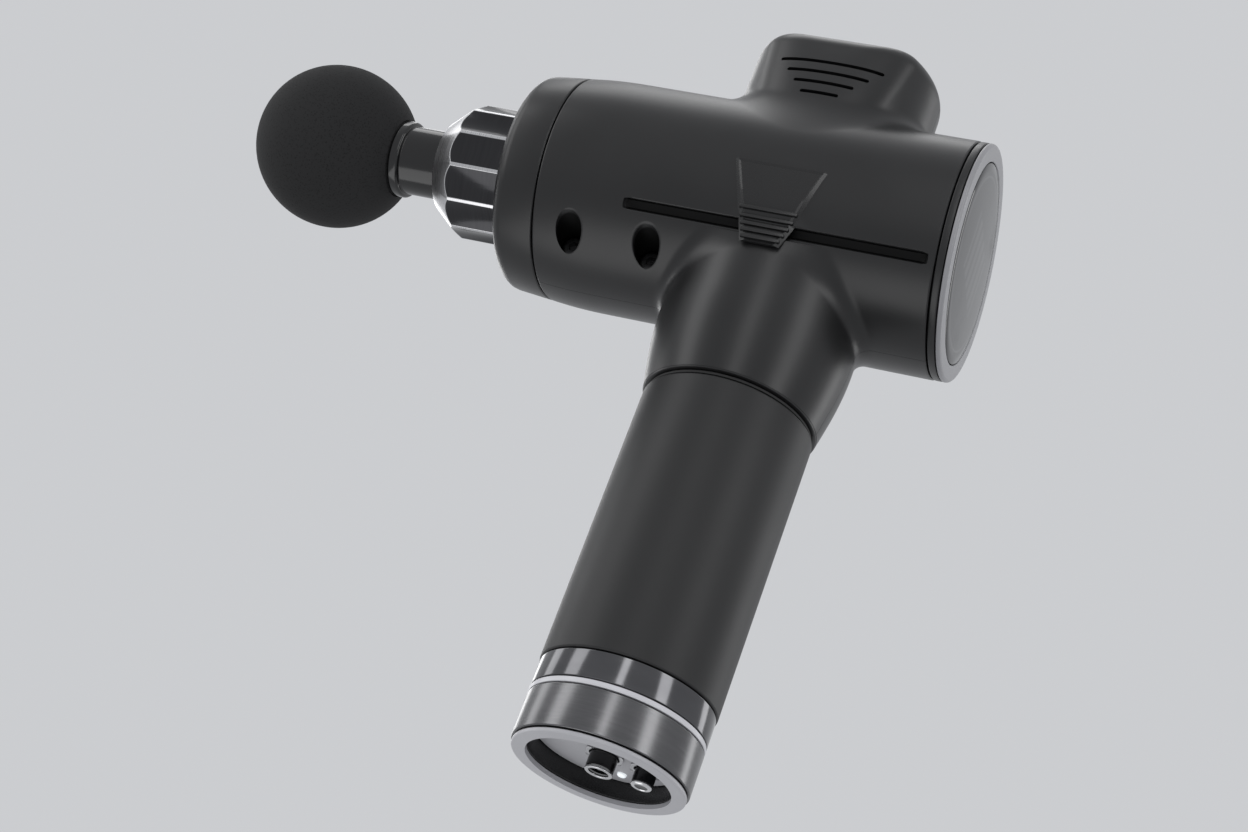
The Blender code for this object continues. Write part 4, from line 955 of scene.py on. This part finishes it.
def plate_out(lift, radius, drop):
    """How far out a surface lies that follows the barrel and then drops straight down."""
    return max(math.sqrt(radius**2 - lift**2), drop)


def plate_rise(lift):
    """How proud the plate is of the barrel: nearly flush at the top, more at the ribs."""
    return PLATE_RISE_FOOT + (PLATE_RISE_TOP - PLATE_RISE_FOOT) * plate_share(lift)


def plate_face(lift):
    return plate_out(lift, BARREL_RADIUS + plate_rise(lift), PLATE_DROP + PLATE_STEP)


print("the plate's face lies", round(plate_face(PLATE_TOP), 2), "mm out at its top")

# %% Lay a grid on the barrel and raise it
badge = fresh(
    "side_plate_right", bpy.ops.mesh.primitive_grid_add, x_subdivisions=24, y_subdivisions=44, size=2
)
for vertex in badge.data.vertices:
    lift = PLATE_BOTTOM + PLATE_HEIGHT * (vertex.co.y + 1) / 2
    across = vertex.co.x * plate_half_width(lift)
    vertex.co = BARREL + Vector((across, -plate_out(lift, PLATE_INNER, PLATE_DROP), lift)) * MM
with edit_mode(badge):
    extrude_along([Vector(), NEAR * MM])
for vertex in badge.data.vertices:
    if vertex.select:
        lift = (vertex.co.z - BARREL.z) / MM
        drawn_in = 1 - PLATE_CHAMFER * plate_rise(lift) / plate_half_width(lift)
        vertex.co.x = BARREL.x + (vertex.co.x - BARREL.x) * drawn_in
        vertex.co.y = -plate_face(lift) * MM
with edit_mode(badge, whole=False):
    bpy.ops.mesh.inset(thickness=PLATE_RIM * MM, depth=-PLATE_RIM_DEPTH * MM, use_boundary=True)
    face_out()
print("side plate:", len(badge.data.polygons), "faces, depth", round(badge.dimensions.y / MM, 2), "mm")

# %% Add the ribs, then mirror the plate
RIBS = 5
RIB_FIRST = 1.4
RIB_PITCH = 2.0
RIB_HALF_HEIGHT = 0.55
RIB_PROUD = 0.5
RIB_ROOT = 0.75
RIB_MARGIN = 0.5

for k in range(RIBS):
    lift = PLATE_BOTTOM + RIB_FIRST + RIB_PITCH * k
    out = plate_face(lift)
    half = plate_half_width(lift) - RIB_MARGIN
    low = BARREL + Vector((-half, -out - RIB_PROUD, lift - RIB_HALF_HEIGHT)) * MM
    high = BARREL + Vector((half, -out + RIB_ROOT, lift + RIB_HALF_HEIGHT)) * MM
    carve(badge, soften(block("rib", low, high), 0.3), operation="UNION")
far_badge = copied(badge, "side_plate_left")
far_badge.data.transform(Matrix.Scale(-1, 4, Vector((0, 1, 0))))
far_badge.data.flip_normals()
hand_over(badge, "body", "trim", "emblem_right", angle=25)
hand_over(far_badge, "body", "trim", "emblem_left", angle=25)

# %% [markdown]
# ## Housing screws
# Two screws sit deep in their holes. Only their heads can be seen: a flat button with a six-sided socket.

# %% Turn a screw and cut its socket
HEAD_TOP = 11.6
HEAD_SEAT = 9.0
HEAD_RADIUS = 3.4
KEY_FLOOR = 10.0
KEY_RADIUS = 1.6

screw_corners = [
    (0, HEAD_TOP),
    (HEAD_RADIUS, HEAD_TOP, 0.9),
    (HEAD_RADIUS, HEAD_SEAT),
    (1.5, HEAD_SEAT),
    (1.5, -HEAD_SEAT, 0.5),
    (0, -HEAD_SEAT),
]
for k, forward in enumerate(SCREWS, 1):
    foot = screw_foot(forward)
    screw = turn(f"screw_{k}", screw_corners, foot, NEAR, steps=64)
    carve(screw, rod("key", KEY_RADIUS, HEAD_TOP + 2.4, KEY_FLOOR, foot, NEAR, 6))
    hand_over(screw, "body", "steel", f"housing_screw_{k}", angle=30)

# %% [markdown]
# ## Finishes
# Every finish is made of nodes, so that it has detail at any size. Values flow through a small class that
# turns Python sums into Math nodes, and one method adds any other node. All patterns are laid in Object
# coordinates, which here are metres, so a noise scale of 1000 gives spots of about a millimetre.


# %% Values that flow between nodes
class Flow:
    """One output on its way through a node tree. Sums and products of flows add Math nodes."""

    def __init__(self, nodes, socket):
        self.nodes = nodes
        self.socket = socket

    def sibling(self, output):
        """Another output of the same node."""
        return Flow(self.nodes, self.socket.node.outputs[output])

    def math(self, operation, *others):
        settings = {"operation": operation}
        return self.nodes.node("ShaderNodeMath", settings, dict(enumerate((self, *others))))

    def __add__(self, other):
        return self.math("ADD", other)

    __radd__ = __add__

    def __sub__(self, other):
        return self.math("SUBTRACT", other)

    def __rsub__(self, other):
        return (self * -1.0).math("ADD", other)

    def __mul__(self, other):
        return self.math("MULTIPLY", other)

    __rmul__ = __mul__


# %% A tree of nodes
class Nodes:
    """A node tree that grows node by node."""

    def __init__(self, tree):
        self.tree = tree

    def feed(self, socket, value):
        if isinstance(value, Flow):
            self.tree.links.new(value.socket, socket)
        else:
            socket.default_value = value

    def node(self, kind, settings=None, sockets=None, output=0):
        """Adds a node: its settings first, then its sockets' values or links. Returns one output."""
        made = self.tree.nodes.new(kind)
        for key, value in (settings or {}).items():
            setattr(made, key, value)
        for key, value in (sockets or {}).items():
            self.feed(made.inputs[key], value)
        return Flow(self, made.outputs[output])


# %% A finish and its usual nodes
class Finish(Nodes):
    """A Principled material."""

    def __init__(self, name, constants=None):
        self.material = bpy.data.materials.new(name)
        self.material.use_nodes = True
        super().__init__(self.material.node_tree)
        self.shader = self.tree.nodes["Principled BSDF"]
        self.show(constants or {})
        self.place = self.node("ShaderNodeTexCoord", output="Object")

    def show(self, sockets):
        """Sets or links the shader's own sockets."""
        for key, value in sockets.items():
            self.feed(self.shader.inputs[key], value)
        return self.material

    def parts(self):
        """The place as three numbers."""
        split = self.node("ShaderNodeSeparateXYZ", None, {0: self.place})
        return [split.sibling(k) for k in range(3)]

    def stretched(self, scale):
        """The place, stretched along the axes."""
        return self.node("ShaderNodeMapping", None, {"Vector": self.place, "Scale": scale})

    def noise(self, scale, detail=2, vector=None):
        sockets = {"Vector": vector or self.place, "Scale": scale, "Detail": detail}
        return self.node("ShaderNodeTexNoise", None, sockets)

    def cells(self, scale):
        """How far a place lies from the middle of the cell around it."""
        sockets = {"Vector": self.place, "Scale": scale}
        return self.node("ShaderNodeTexVoronoi", None, sockets, "Distance")

    def between(self, value, low, high):
        """0 up to low, 1 from high on, and a smooth step between them."""
        sockets = {"Value": value, "From Min": low, "From Max": high}
        return self.node("ShaderNodeMapRange", {"interpolation_type": "SMOOTHSTEP"}, sockets)

    def mix(self, share, first, second):
        """A colour between two, each a link or three numbers."""
        first, second = ((*c, 1) if isinstance(c, tuple) else c for c in (first, second))
        settings = {"data_type": "RGBA"}
        return self.node("ShaderNodeMix", settings, {0: share, 6: first, 7: second}, 2)

    def bump(self, height, strength, depth):
        """A normal from a height, whose whole range is depth in mm."""
        sockets = {"Strength": strength, "Distance": depth * MM, "Height": height}
        return self.node("ShaderNodeBump", None, sockets)


def reach_from(first, second):
    """How far a place lies from an axis, from its two numbers across that axis."""
    return (first * first + second * second).math("SQRT")


# %% [markdown]
# ## Plastics
# The housing is satin black with a fine moulded grain, the grip is a softer, duller black, and the stem
# and button are polished. Black plastic is never one black: wide, faint clouds change its sheen where hands
# have been, and the grain breaks up the highlights.


# %% Satin shell, soft grip, trim and gloss
def skin(finish, dark, light, sheen, grain_size, grain_depth):
    """The sockets of a plastic's skin: its clouds and its grain."""
    cloud = finish.noise(32, 3)
    grain = finish.noise(1000 / grain_size, 2)
    return {
        "Base Color": finish.mix(cloud, (dark, dark, 1.06 * dark), (light, light, 1.04 * light)),
        "Roughness": sheen + 0.10 * (cloud - 0.5) + 0.10 * (grain - 0.5),
        "Normal": finish.bump(grain, 0.5, grain_depth),
    }


def plastic(name, *numbers, gloss=0.5):
    finish = Finish(name, {"Specular IOR Level": gloss})
    return finish.show(skin(finish, *numbers))


SATIN = (0.007, 0.012, 0.34, 0.35, 0.010)
SATIN_GLOSS = 0.40
FINISHES = {
    "shell": plastic("satin_shell", *SATIN, gloss=SATIN_GLOSS),
    "grip": plastic("soft_grip", 0.007, 0.011, 0.50, 0.30, 0.012, gloss=0.40),
    "trim": plastic("trim_black", 0.006, 0.010, 0.28, 0.25, 0.006, gloss=0.45),
    "gloss": plastic("polished_black", 0.005, 0.008, 0.13, 0.8, 0.002),
    "grey": plastic("pale_plastic", 0.34, 0.41, 0.42, 0.40, 0.010),
    "light": plastic("light_guide", 0.48, 0.56, 0.36, 0.9, 0.004),
    "bush": plastic("guide_plastic", 0.05, 0.08, 0.45, 0.5, 0.008),
    "wire": plastic("wire_sleeve", 0.016, 0.026, 0.50, 0.6, 0.010),
}
OWN_FINISHES = {"rear_cap_bezel": plastic("satin_bezel", 0.22, 0.28, 0.36, 0.40, 0.008)}
print("plastics:", sorted(FINISHES))

# %% The moulded housing, with painted shade in its grooves and screw holes
SHADE_FULL_BELOW = (BARREL_RADIUS - 1.5) * MM
SHADE_NONE_ABOVE = (BARREL_RADIUS - 0.85) * MM


def shell_with_painted_shade():
    """Satin outside, with painted shade where a groove or a hole lies below the barrel's skin: a darker,
    duller, partly metallic colour there stands in for the shade inside them.
    """
    finish = Finish("shell_with_painted_shade", {"Specular IOR Level": SATIN_GLOSS})
    sockets = skin(finish, *SATIN)
    across, height = finish.parts()[1:]
    # painted shade: full from 1.5 mm below the barrel's skin, none from 0.85 mm below it
    painted_shade = 1 - finish.between(reach_from(across, height - BARREL.z), SHADE_FULL_BELOW, SHADE_NONE_ABOVE)
    sockets["Base Color"] = finish.mix(painted_shade, sockets["Base Color"], (0.003, 0.003, 0.003))
    sockets["Roughness"] += 0.2 * painted_shade
    sockets["Metallic"] = 0.65 * painted_shade
    return finish.show(sockets)


OWN_FINISHES["housing_shell_right"] = OWN_FINISHES["housing_shell_left"] = shell_with_painted_shade()
# prints how far below the skin the painted shade is full
print("housing finish: dull from", round(BARREL_RADIUS - SHADE_FULL_BELOW / MM, 2), "mm below the skin")

# %% [markdown]
# ## Foam and rubber
# The ball is closed-cell foam: its skin is matt and pitted with tiny open cells, so it gives no highlight
# at all, and the pits are painted darker, as painted shade inside them. Rubber is matt too, but smooth, with
# a faint bloom.


# %% Foam cells and matt rubber
def foam():
    finish = Finish("black_foam", {"Specular IOR Level": 0.25})
    pits_and_their_shade = finish.between(finish.cells(1500), 0.10, 0.45)
    fine = finish.noise(2600, 3)
    cloud = finish.noise(60, 3)
    # painted shade: the pits are darker in colour than the foam between them, and the same mask gives them
    # their depth
    tone_with_pit_shade = finish.mix(pits_and_their_shade, (0.004, 0.004, 0.004), (0.016, 0.016, 0.0165))
    return finish.show({
        "Base Color": finish.mix(0.35 * cloud, tone_with_pit_shade, (0.020, 0.020, 0.021)),
        "Roughness": 0.88 + 0.12 * (fine - 0.5),
        "Normal": finish.bump(0.7 * pits_and_their_shade + 0.3 * fine, 0.7, 0.12),
    })


def rubber():
    finish = Finish("matt_rubber")
    bloom = finish.noise(240, 4)
    return finish.show({
        "Base Color": finish.mix(bloom, (0.006, 0.006, 0.006), (0.013, 0.013, 0.0135)),
        "Roughness": 0.72 + 0.16 * (bloom - 0.5),
        "Normal": finish.bump(finish.noise(3000, 2), 0.4, 0.012),
    })


FINISHES["foam"] = foam()
FINISHES["rubber"] = rubber()
print("soft finishes:", [FINISHES[slot].name for slot in ("foam", "rubber")])

# %% [markdown]
# ## Metals
# The band at the foot carries fine lines that run round it: a noise that is squeezed along the axis gives
# such lines. The nose is coated dark, and its chamfer and the crests between its flutes are cut bare and
# bright after that, so masks by place and radius choose between coat and bare metal. Black chrome is a dark
# mirror with faint smears.


# %% Brushed band and black chrome
def brushed():
    finish = Finish("brushed_dark", {"Metallic": 1.0})
    lines = finish.noise(60, 4, finish.stretched((1, 1, 90)))
    fine = finish.noise(260, 3, finish.stretched((1, 1, 30)))
    streaks = 0.6 * lines + 0.4 * fine
    return finish.show({
        "Base Color": finish.mix(streaks, (0.085, 0.085, 0.088), (0.17, 0.17, 0.175)),
        "Roughness": 0.24 + 0.14 * (streaks - 0.5),
        "Normal": finish.bump(streaks, 0.25, 0.008),
    })


def black_chrome():
    finish = Finish("black_chrome", {"Metallic": 1.0})
    smear = finish.noise(90, 4, finish.stretched((1, 1, 3)))
    lines = finish.noise(400, 3, finish.stretched((1, 1, 12)))
    return finish.show({
        "Base Color": finish.mix(smear, (0.085, 0.085, 0.090), (0.125, 0.125, 0.130)),
        "Roughness": 0.11 + 0.06 * (smear - 0.4) + 0.02 * lines,
    })


FINISHES["brushed"] = brushed()
FINISHES["chrome"] = black_chrome()
print("bands:", [FINISHES[slot].name for slot in ("brushed", "chrome")])


# %% The nose, coated and cut bare
def coated_nose():
    finish = Finish("coated_nose", {"Metallic": 1.0})
    place_x, place_y, place_z = finish.parts()
    radius = reach_from(place_y, place_z - BARREL.z)
    forward = HANDLE.x - place_x
    slope = (NOSE_FRONT - CHAMFER) / (NOSE_RADIUS - NOSE_LIP)
    past_chamfer = forward + slope * radius - (CHAMFER + slope * NOSE_RADIUS) * MM
    chamfer = finish.between(past_chamfer, -0.30 * MM, -0.10 * MM)
    crest = finish.between(radius, (NOSE_RADIUS - 0.10) * MM, (NOSE_RADIUS - 0.02) * MM)
    bare = chamfer.math("MAXIMUM", crest)
    lines = finish.noise(60, 4, finish.stretched((70, 1, 1)))
    coat = finish.mix(lines, (0.030, 0.030, 0.032), (0.055, 0.055, 0.058))
    metal = finish.mix(lines, (0.46, 0.46, 0.47), (0.62, 0.62, 0.63))
    return finish.show({
        "Base Color": finish.mix(bare, coat, metal),
        "Roughness": 0.15 + 0.13 * bare + 0.08 * (lines - 0.5),
        "Normal": finish.bump(lines, 0.15, 0.004),
    })


OWN_FINISHES["nose"] = coated_nose()
print("nose finish:", len(OWN_FINISHES["nose"].node_tree.nodes), "nodes")


# %% Steel, alloy, windings, magnets and cells
def worked_metal(name, dark, light, sheen, stretch, scale):
    finish = Finish(name, {"Metallic": 1.0})
    lines = finish.noise(scale, 4, finish.stretched(stretch))
    stain = finish.noise(150, 4)
    return finish.show({
        "Base Color": finish.mix(0.6 * lines + 0.4 * stain, dark, light),
        "Roughness": sheen + 0.14 * (lines - 0.5) + 0.08 * (stain - 0.5),
        "Normal": finish.bump(lines, 0.3, 0.006),
    })


METALS = {
    "steel": ("steel", (0.42, 0.42, 0.43), (0.62, 0.62, 0.63), 0.24, (1, 1, 6), 900),
    "alloy": ("alloy", (0.46, 0.46, 0.47), (0.66, 0.66, 0.67), 0.32, (12, 1, 1), 500),
    "winding": ("winding", (0.34, 0.13, 0.05), (0.58, 0.27, 0.10), 0.36, (1, 1, 8), 800),
    "magnet": ("magnet", (0.08, 0.08, 0.085), (0.16, 0.16, 0.165), 0.38, (1, 1, 4), 700),
    "cell": ("cell_wrap", (0.03, 0.11, 0.24), (0.05, 0.17, 0.34), 0.34, (1, 1, 0.3), 300),
}
for slot, numbers in METALS.items():
    FINISHES[slot] = worked_metal(*numbers)
dark_steel = worked_metal("dark_steel", (0.07, 0.07, 0.072), (0.12, 0.12, 0.122), 0.30, (1, 1, 1), 700)
OWN_FINISHES["screw_1"] = OWN_FINISHES["screw_2"] = dark_steel
print("worked metals:", sorted(METALS))

# %% [markdown]
# ## Lens, button, lamp and circuit boards
# The lens is dark glass. Behind it lies an unlit row of level bars, barely lighter than the ground, and the
# surface has faint finger smears. The button's tip carries a bright ring like the socket's, cut by a mask on
# its height and radius. The lamp glows faintly, and the boards are green with lighter tracks.

# %% Display glass
BORDER = (23.4 * MM, 24.0 * MM)
BAR_PITCH = 5.0 * MM
BAR_HALF_HEIGHT = 9.2 * MM
BARS_HALF_WIDTH = 12.5 * MM
LINE = 0.1 * MM


def lens_glass():
    """A thin ring near the edge and five upright bars, both faint."""
    finish = Finish("display_glass", {"Specular IOR Level": 0.35})
    across, height = finish.parts()[1:]
    lift = height - BARREL.z
    radius = reach_from(across, lift)
    inside, outside = BORDER
    border = finish.between(radius, inside, inside + LINE) - finish.between(radius, outside - LINE, outside)
    beat = (across * (1 / BAR_PITCH)).math("FRACT")
    bar = finish.between(beat, 0.18, 0.22) - finish.between(beat, 0.78, 0.82)
    row = 1 - finish.between(lift.math("ABSOLUTE"), BAR_HALF_HEIGHT - 2 * LINE, BAR_HALF_HEIGHT)
    width = 1 - finish.between(across.math("ABSOLUTE"), BARS_HALF_WIDTH, BARS_HALF_WIDTH + LINE)
    lighter = 0.5 * border + 0.35 * (bar * row * width)
    return finish.show({
        "Base Color": finish.mix(lighter, (0.012, 0.012, 0.014), (0.12, 0.12, 0.125)),
        "Roughness": 0.10 + 0.12 * finish.between(finish.noise(70, 4), 0.45, 0.75),
    })


FINISHES["lens"] = lens_glass()
print("lens finish:", len(FINISHES["lens"].node_tree.nodes), "nodes")


# %% Button, lamp and boards
def ringed_button():
    finish = Finish("ringed_button")
    place_x, place_y, place_z = finish.parts()
    radius = reach_from(place_x - BUTTON.x, place_y - BUTTON.y)
    ring = finish.between(radius, 1.65 * MM, 1.75 * MM) * (1 - finish.between(place_z, 1.3 * MM, 1.4 * MM))
    grain = finish.noise(1400, 3)
    plain = finish.mix(grain, (0.005, 0.005, 0.006), (0.010, 0.010, 0.011))
    return finish.show({
        "Base Color": finish.mix(ring, plain, (0.62, 0.62, 0.63)),
        "Metallic": ring,
        "Roughness": 0.18 + 0.08 * (grain - 0.5),
    })


def glowing_lamp():
    finish = Finish("glowing_lamp", {"Emission Strength": 0.6})
    cloud = finish.noise(900, 2)
    glow = finish.mix(cloud, (0.72, 0.76, 0.78), (0.86, 0.90, 0.92))
    return finish.show({"Base Color": glow, "Emission Color": glow, "Roughness": 0.20 + 0.1 * cloud})


def circuit_board():
    finish = Finish("circuit_board")
    tracks = finish.between(finish.cells(700), 0.42, 0.50)
    cloud = finish.noise(200, 3)
    green = finish.mix(cloud, (0.008, 0.055, 0.020), (0.012, 0.085, 0.032))
    return finish.show({
        "Base Color": finish.mix(tracks, green, (0.03, 0.16, 0.06)),
        "Roughness": 0.42 + 0.12 * (cloud - 0.5),
        "Normal": finish.bump(tracks, 0.4, 0.03),
    })


FINISHES["board"] = circuit_board()
OWN_FINISHES["button_cap"] = ringed_button()
OWN_FINISHES["charge_lamp"] = glowing_lamp()
print("finishes:", len(FINISHES), "by slot,", len(OWN_FINISHES), "for single pieces")

# %% Give every piece and every remaining solid its finish
for subpart in frame["record"]["subparts"]:
    slots[subpart["node"]] = subpart["material_slot"]
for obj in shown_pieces():
    obj.data.materials.clear()
    obj.data.materials.append(OWN_FINISHES.get(obj.name) or FINISHES[slots[obj.name]])

# %% [markdown]
# ## Floor, surround and camera
# The tool stands on its rim on a plain pale floor, but the picture is taken from below it, so the floor
# shows only its upper side: seen from beneath, it lets the view through. Far from the tool it fades into
# an even surround of about its own colour, so there is no horizon.

# %% A pale floor that is clear from beneath
FLOOR_SIZE = 4.0
FADE = (0.9, 1.9)

floor = fresh("floor", bpy.ops.mesh.primitive_plane_add, size=FLOOR_SIZE, location=(0, 0, -0.2 * MM))
floor.visible_shadow = False
floor.visible_diffuse = False
floor.visible_glossy = False
floor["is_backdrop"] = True
ground = Finish("pale_floor", {"Roughness": 0.8})
ground.show({"Base Color": ground.mix(ground.noise(3, 2), (0.60, 0.60, 0.61), (0.63, 0.63, 0.64))})
under = ground.node("ShaderNodeNewGeometry", output="Backfacing")
faded = ground.between(reach_from(*ground.parts()[:2]), *FADE)
clear = ground.node("ShaderNodeBsdfTransparent")
pale = Flow(ground, ground.shader.outputs[0])
seen = ground.node("ShaderNodeMixShader", None, {0: under.math("MAXIMUM", faded), 1: pale, 2: clear})
ground.feed(ground.tree.nodes["Material Output"].inputs["Surface"], seen)
floor.data.materials.append(ground.material)
print("floor is", floor.dimensions.x, "m wide")

# %% An even surround
PALE = (0.60, 0.61, 0.63, 1)
SURROUND_LIGHT = 0.95

world = bpy.data.worlds.new("surround")
bpy.context.scene.world = world
world.use_nodes = True
surround = Nodes(world.node_tree)
surround.tree.nodes.remove(surround.tree.nodes["Background"])
soft_light = surround.node("ShaderNodeBackground", None, {"Color": PALE, "Strength": SURROUND_LIGHT})
backdrop = surround.node("ShaderNodeBackground", None, {"Color": PALE})
camera_ray = surround.node("ShaderNodeLightPath", output="Is Camera Ray")
mirrored = camera_ray.math("MAXIMUM", camera_ray.sibling("Is Glossy Ray"))
shown = mirrored.math("MAXIMUM", camera_ray.sibling("Is Transmission Ray"))
choice = surround.node("ShaderNodeMixShader", None, {0: shown, 1: soft_light, 2: backdrop})
surround.feed(surround.tree.nodes["World Output"].inputs["Surface"], choice)
print("surround:", len(surround.tree.nodes), "nodes")

# %% [markdown]
# Round metal shows its lamps as bright bars along its axis. Six tall, narrow soft boxes stand all round the
# tool, so the chrome and the brushed band get such bars with darker metal between them, and the satin barrel
# gets broad, soft ones. A wide box above and one below lighten the dome and the recess.


# %% Soft boxes
def soft_box(name, azimuth, distance, height, size, power):
    """A lamp at an azimuth round the handle, turned to the object's middle."""
    angle = math.radians(azimuth)
    place = HANDLE + Vector((math.cos(angle) * distance, math.sin(angle) * distance, height))
    aim = HANDLE + Vector((0, 0, 0.12))
    lamp = bpy.data.lights.new(name, "AREA")
    lamp.shape = "RECTANGLE"
    lamp.size, lamp.size_y = size
    lamp.energy = power
    box = bpy.data.objects.new(name, lamp)
    box.location = place
    box.rotation_euler = (aim - place).to_track_quat("-Z", "Y").to_euler()
    box.visible_camera = False
    bpy.context.scene.collection.objects.link(box)


SOFT_BOXES = {
    "side_box": (172, 2.2, 0.85, (0.60, 2.3), 9),
    "left_box": (211, 2.2, 0.85, (0.75, 2.4), 14),
    "front_box": (274, 2.3, 0.85, (0.36, 2.4), 9),
    "right_box": (328, 2.2, 0.80, (0.60, 2.4), 14),
    "back_left_box": (130, 2.2, 0.9, (0.5, 2.3), 8),
    "back_right_box": (42, 2.2, 0.7, (0.5, 2.0), 8),
    "top_box": (150, 0.7, 2.0, (1.2, 0.6), 4),
    "low_box": (215, 0.35, -1.0, (1.1, 0.7), 3.5),
}
for name, numbers in SOFT_BOXES.items():
    soft_box(name, *numbers)
print("soft boxes:", len(SOFT_BOXES))

# %% The camera, at the photograph's angle
camera = bpy.data.cameras.new("camera")
camera.sensor_width = 36
camera.lens = 66.563
camera.clip_start = 0.01
viewer = bpy.data.objects.new("camera", camera)
bpy.context.scene.collection.objects.link(viewer)
right = Vector((0.93096742, 0.16422131, 0.32608438))
up = Vector((-0.20127313, -0.51431344, 0.8336491))
back = Vector((0.30461253, -0.84173217, -0.44575572))
turned_to = Matrix((right, up, back)).transposed().to_4x4()
viewer.matrix_world = Matrix.Translation((0.215694, -0.513556, -0.174543)) @ turned_to
bpy.context.scene.camera = viewer
bpy.context.scene.view_settings.view_transform = "Standard"
print("camera lens", camera.lens, "mm")

# %% Print the visual box
low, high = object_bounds()
print("visual box in mm:", [round(1000 * x, 1) for x in high - low])
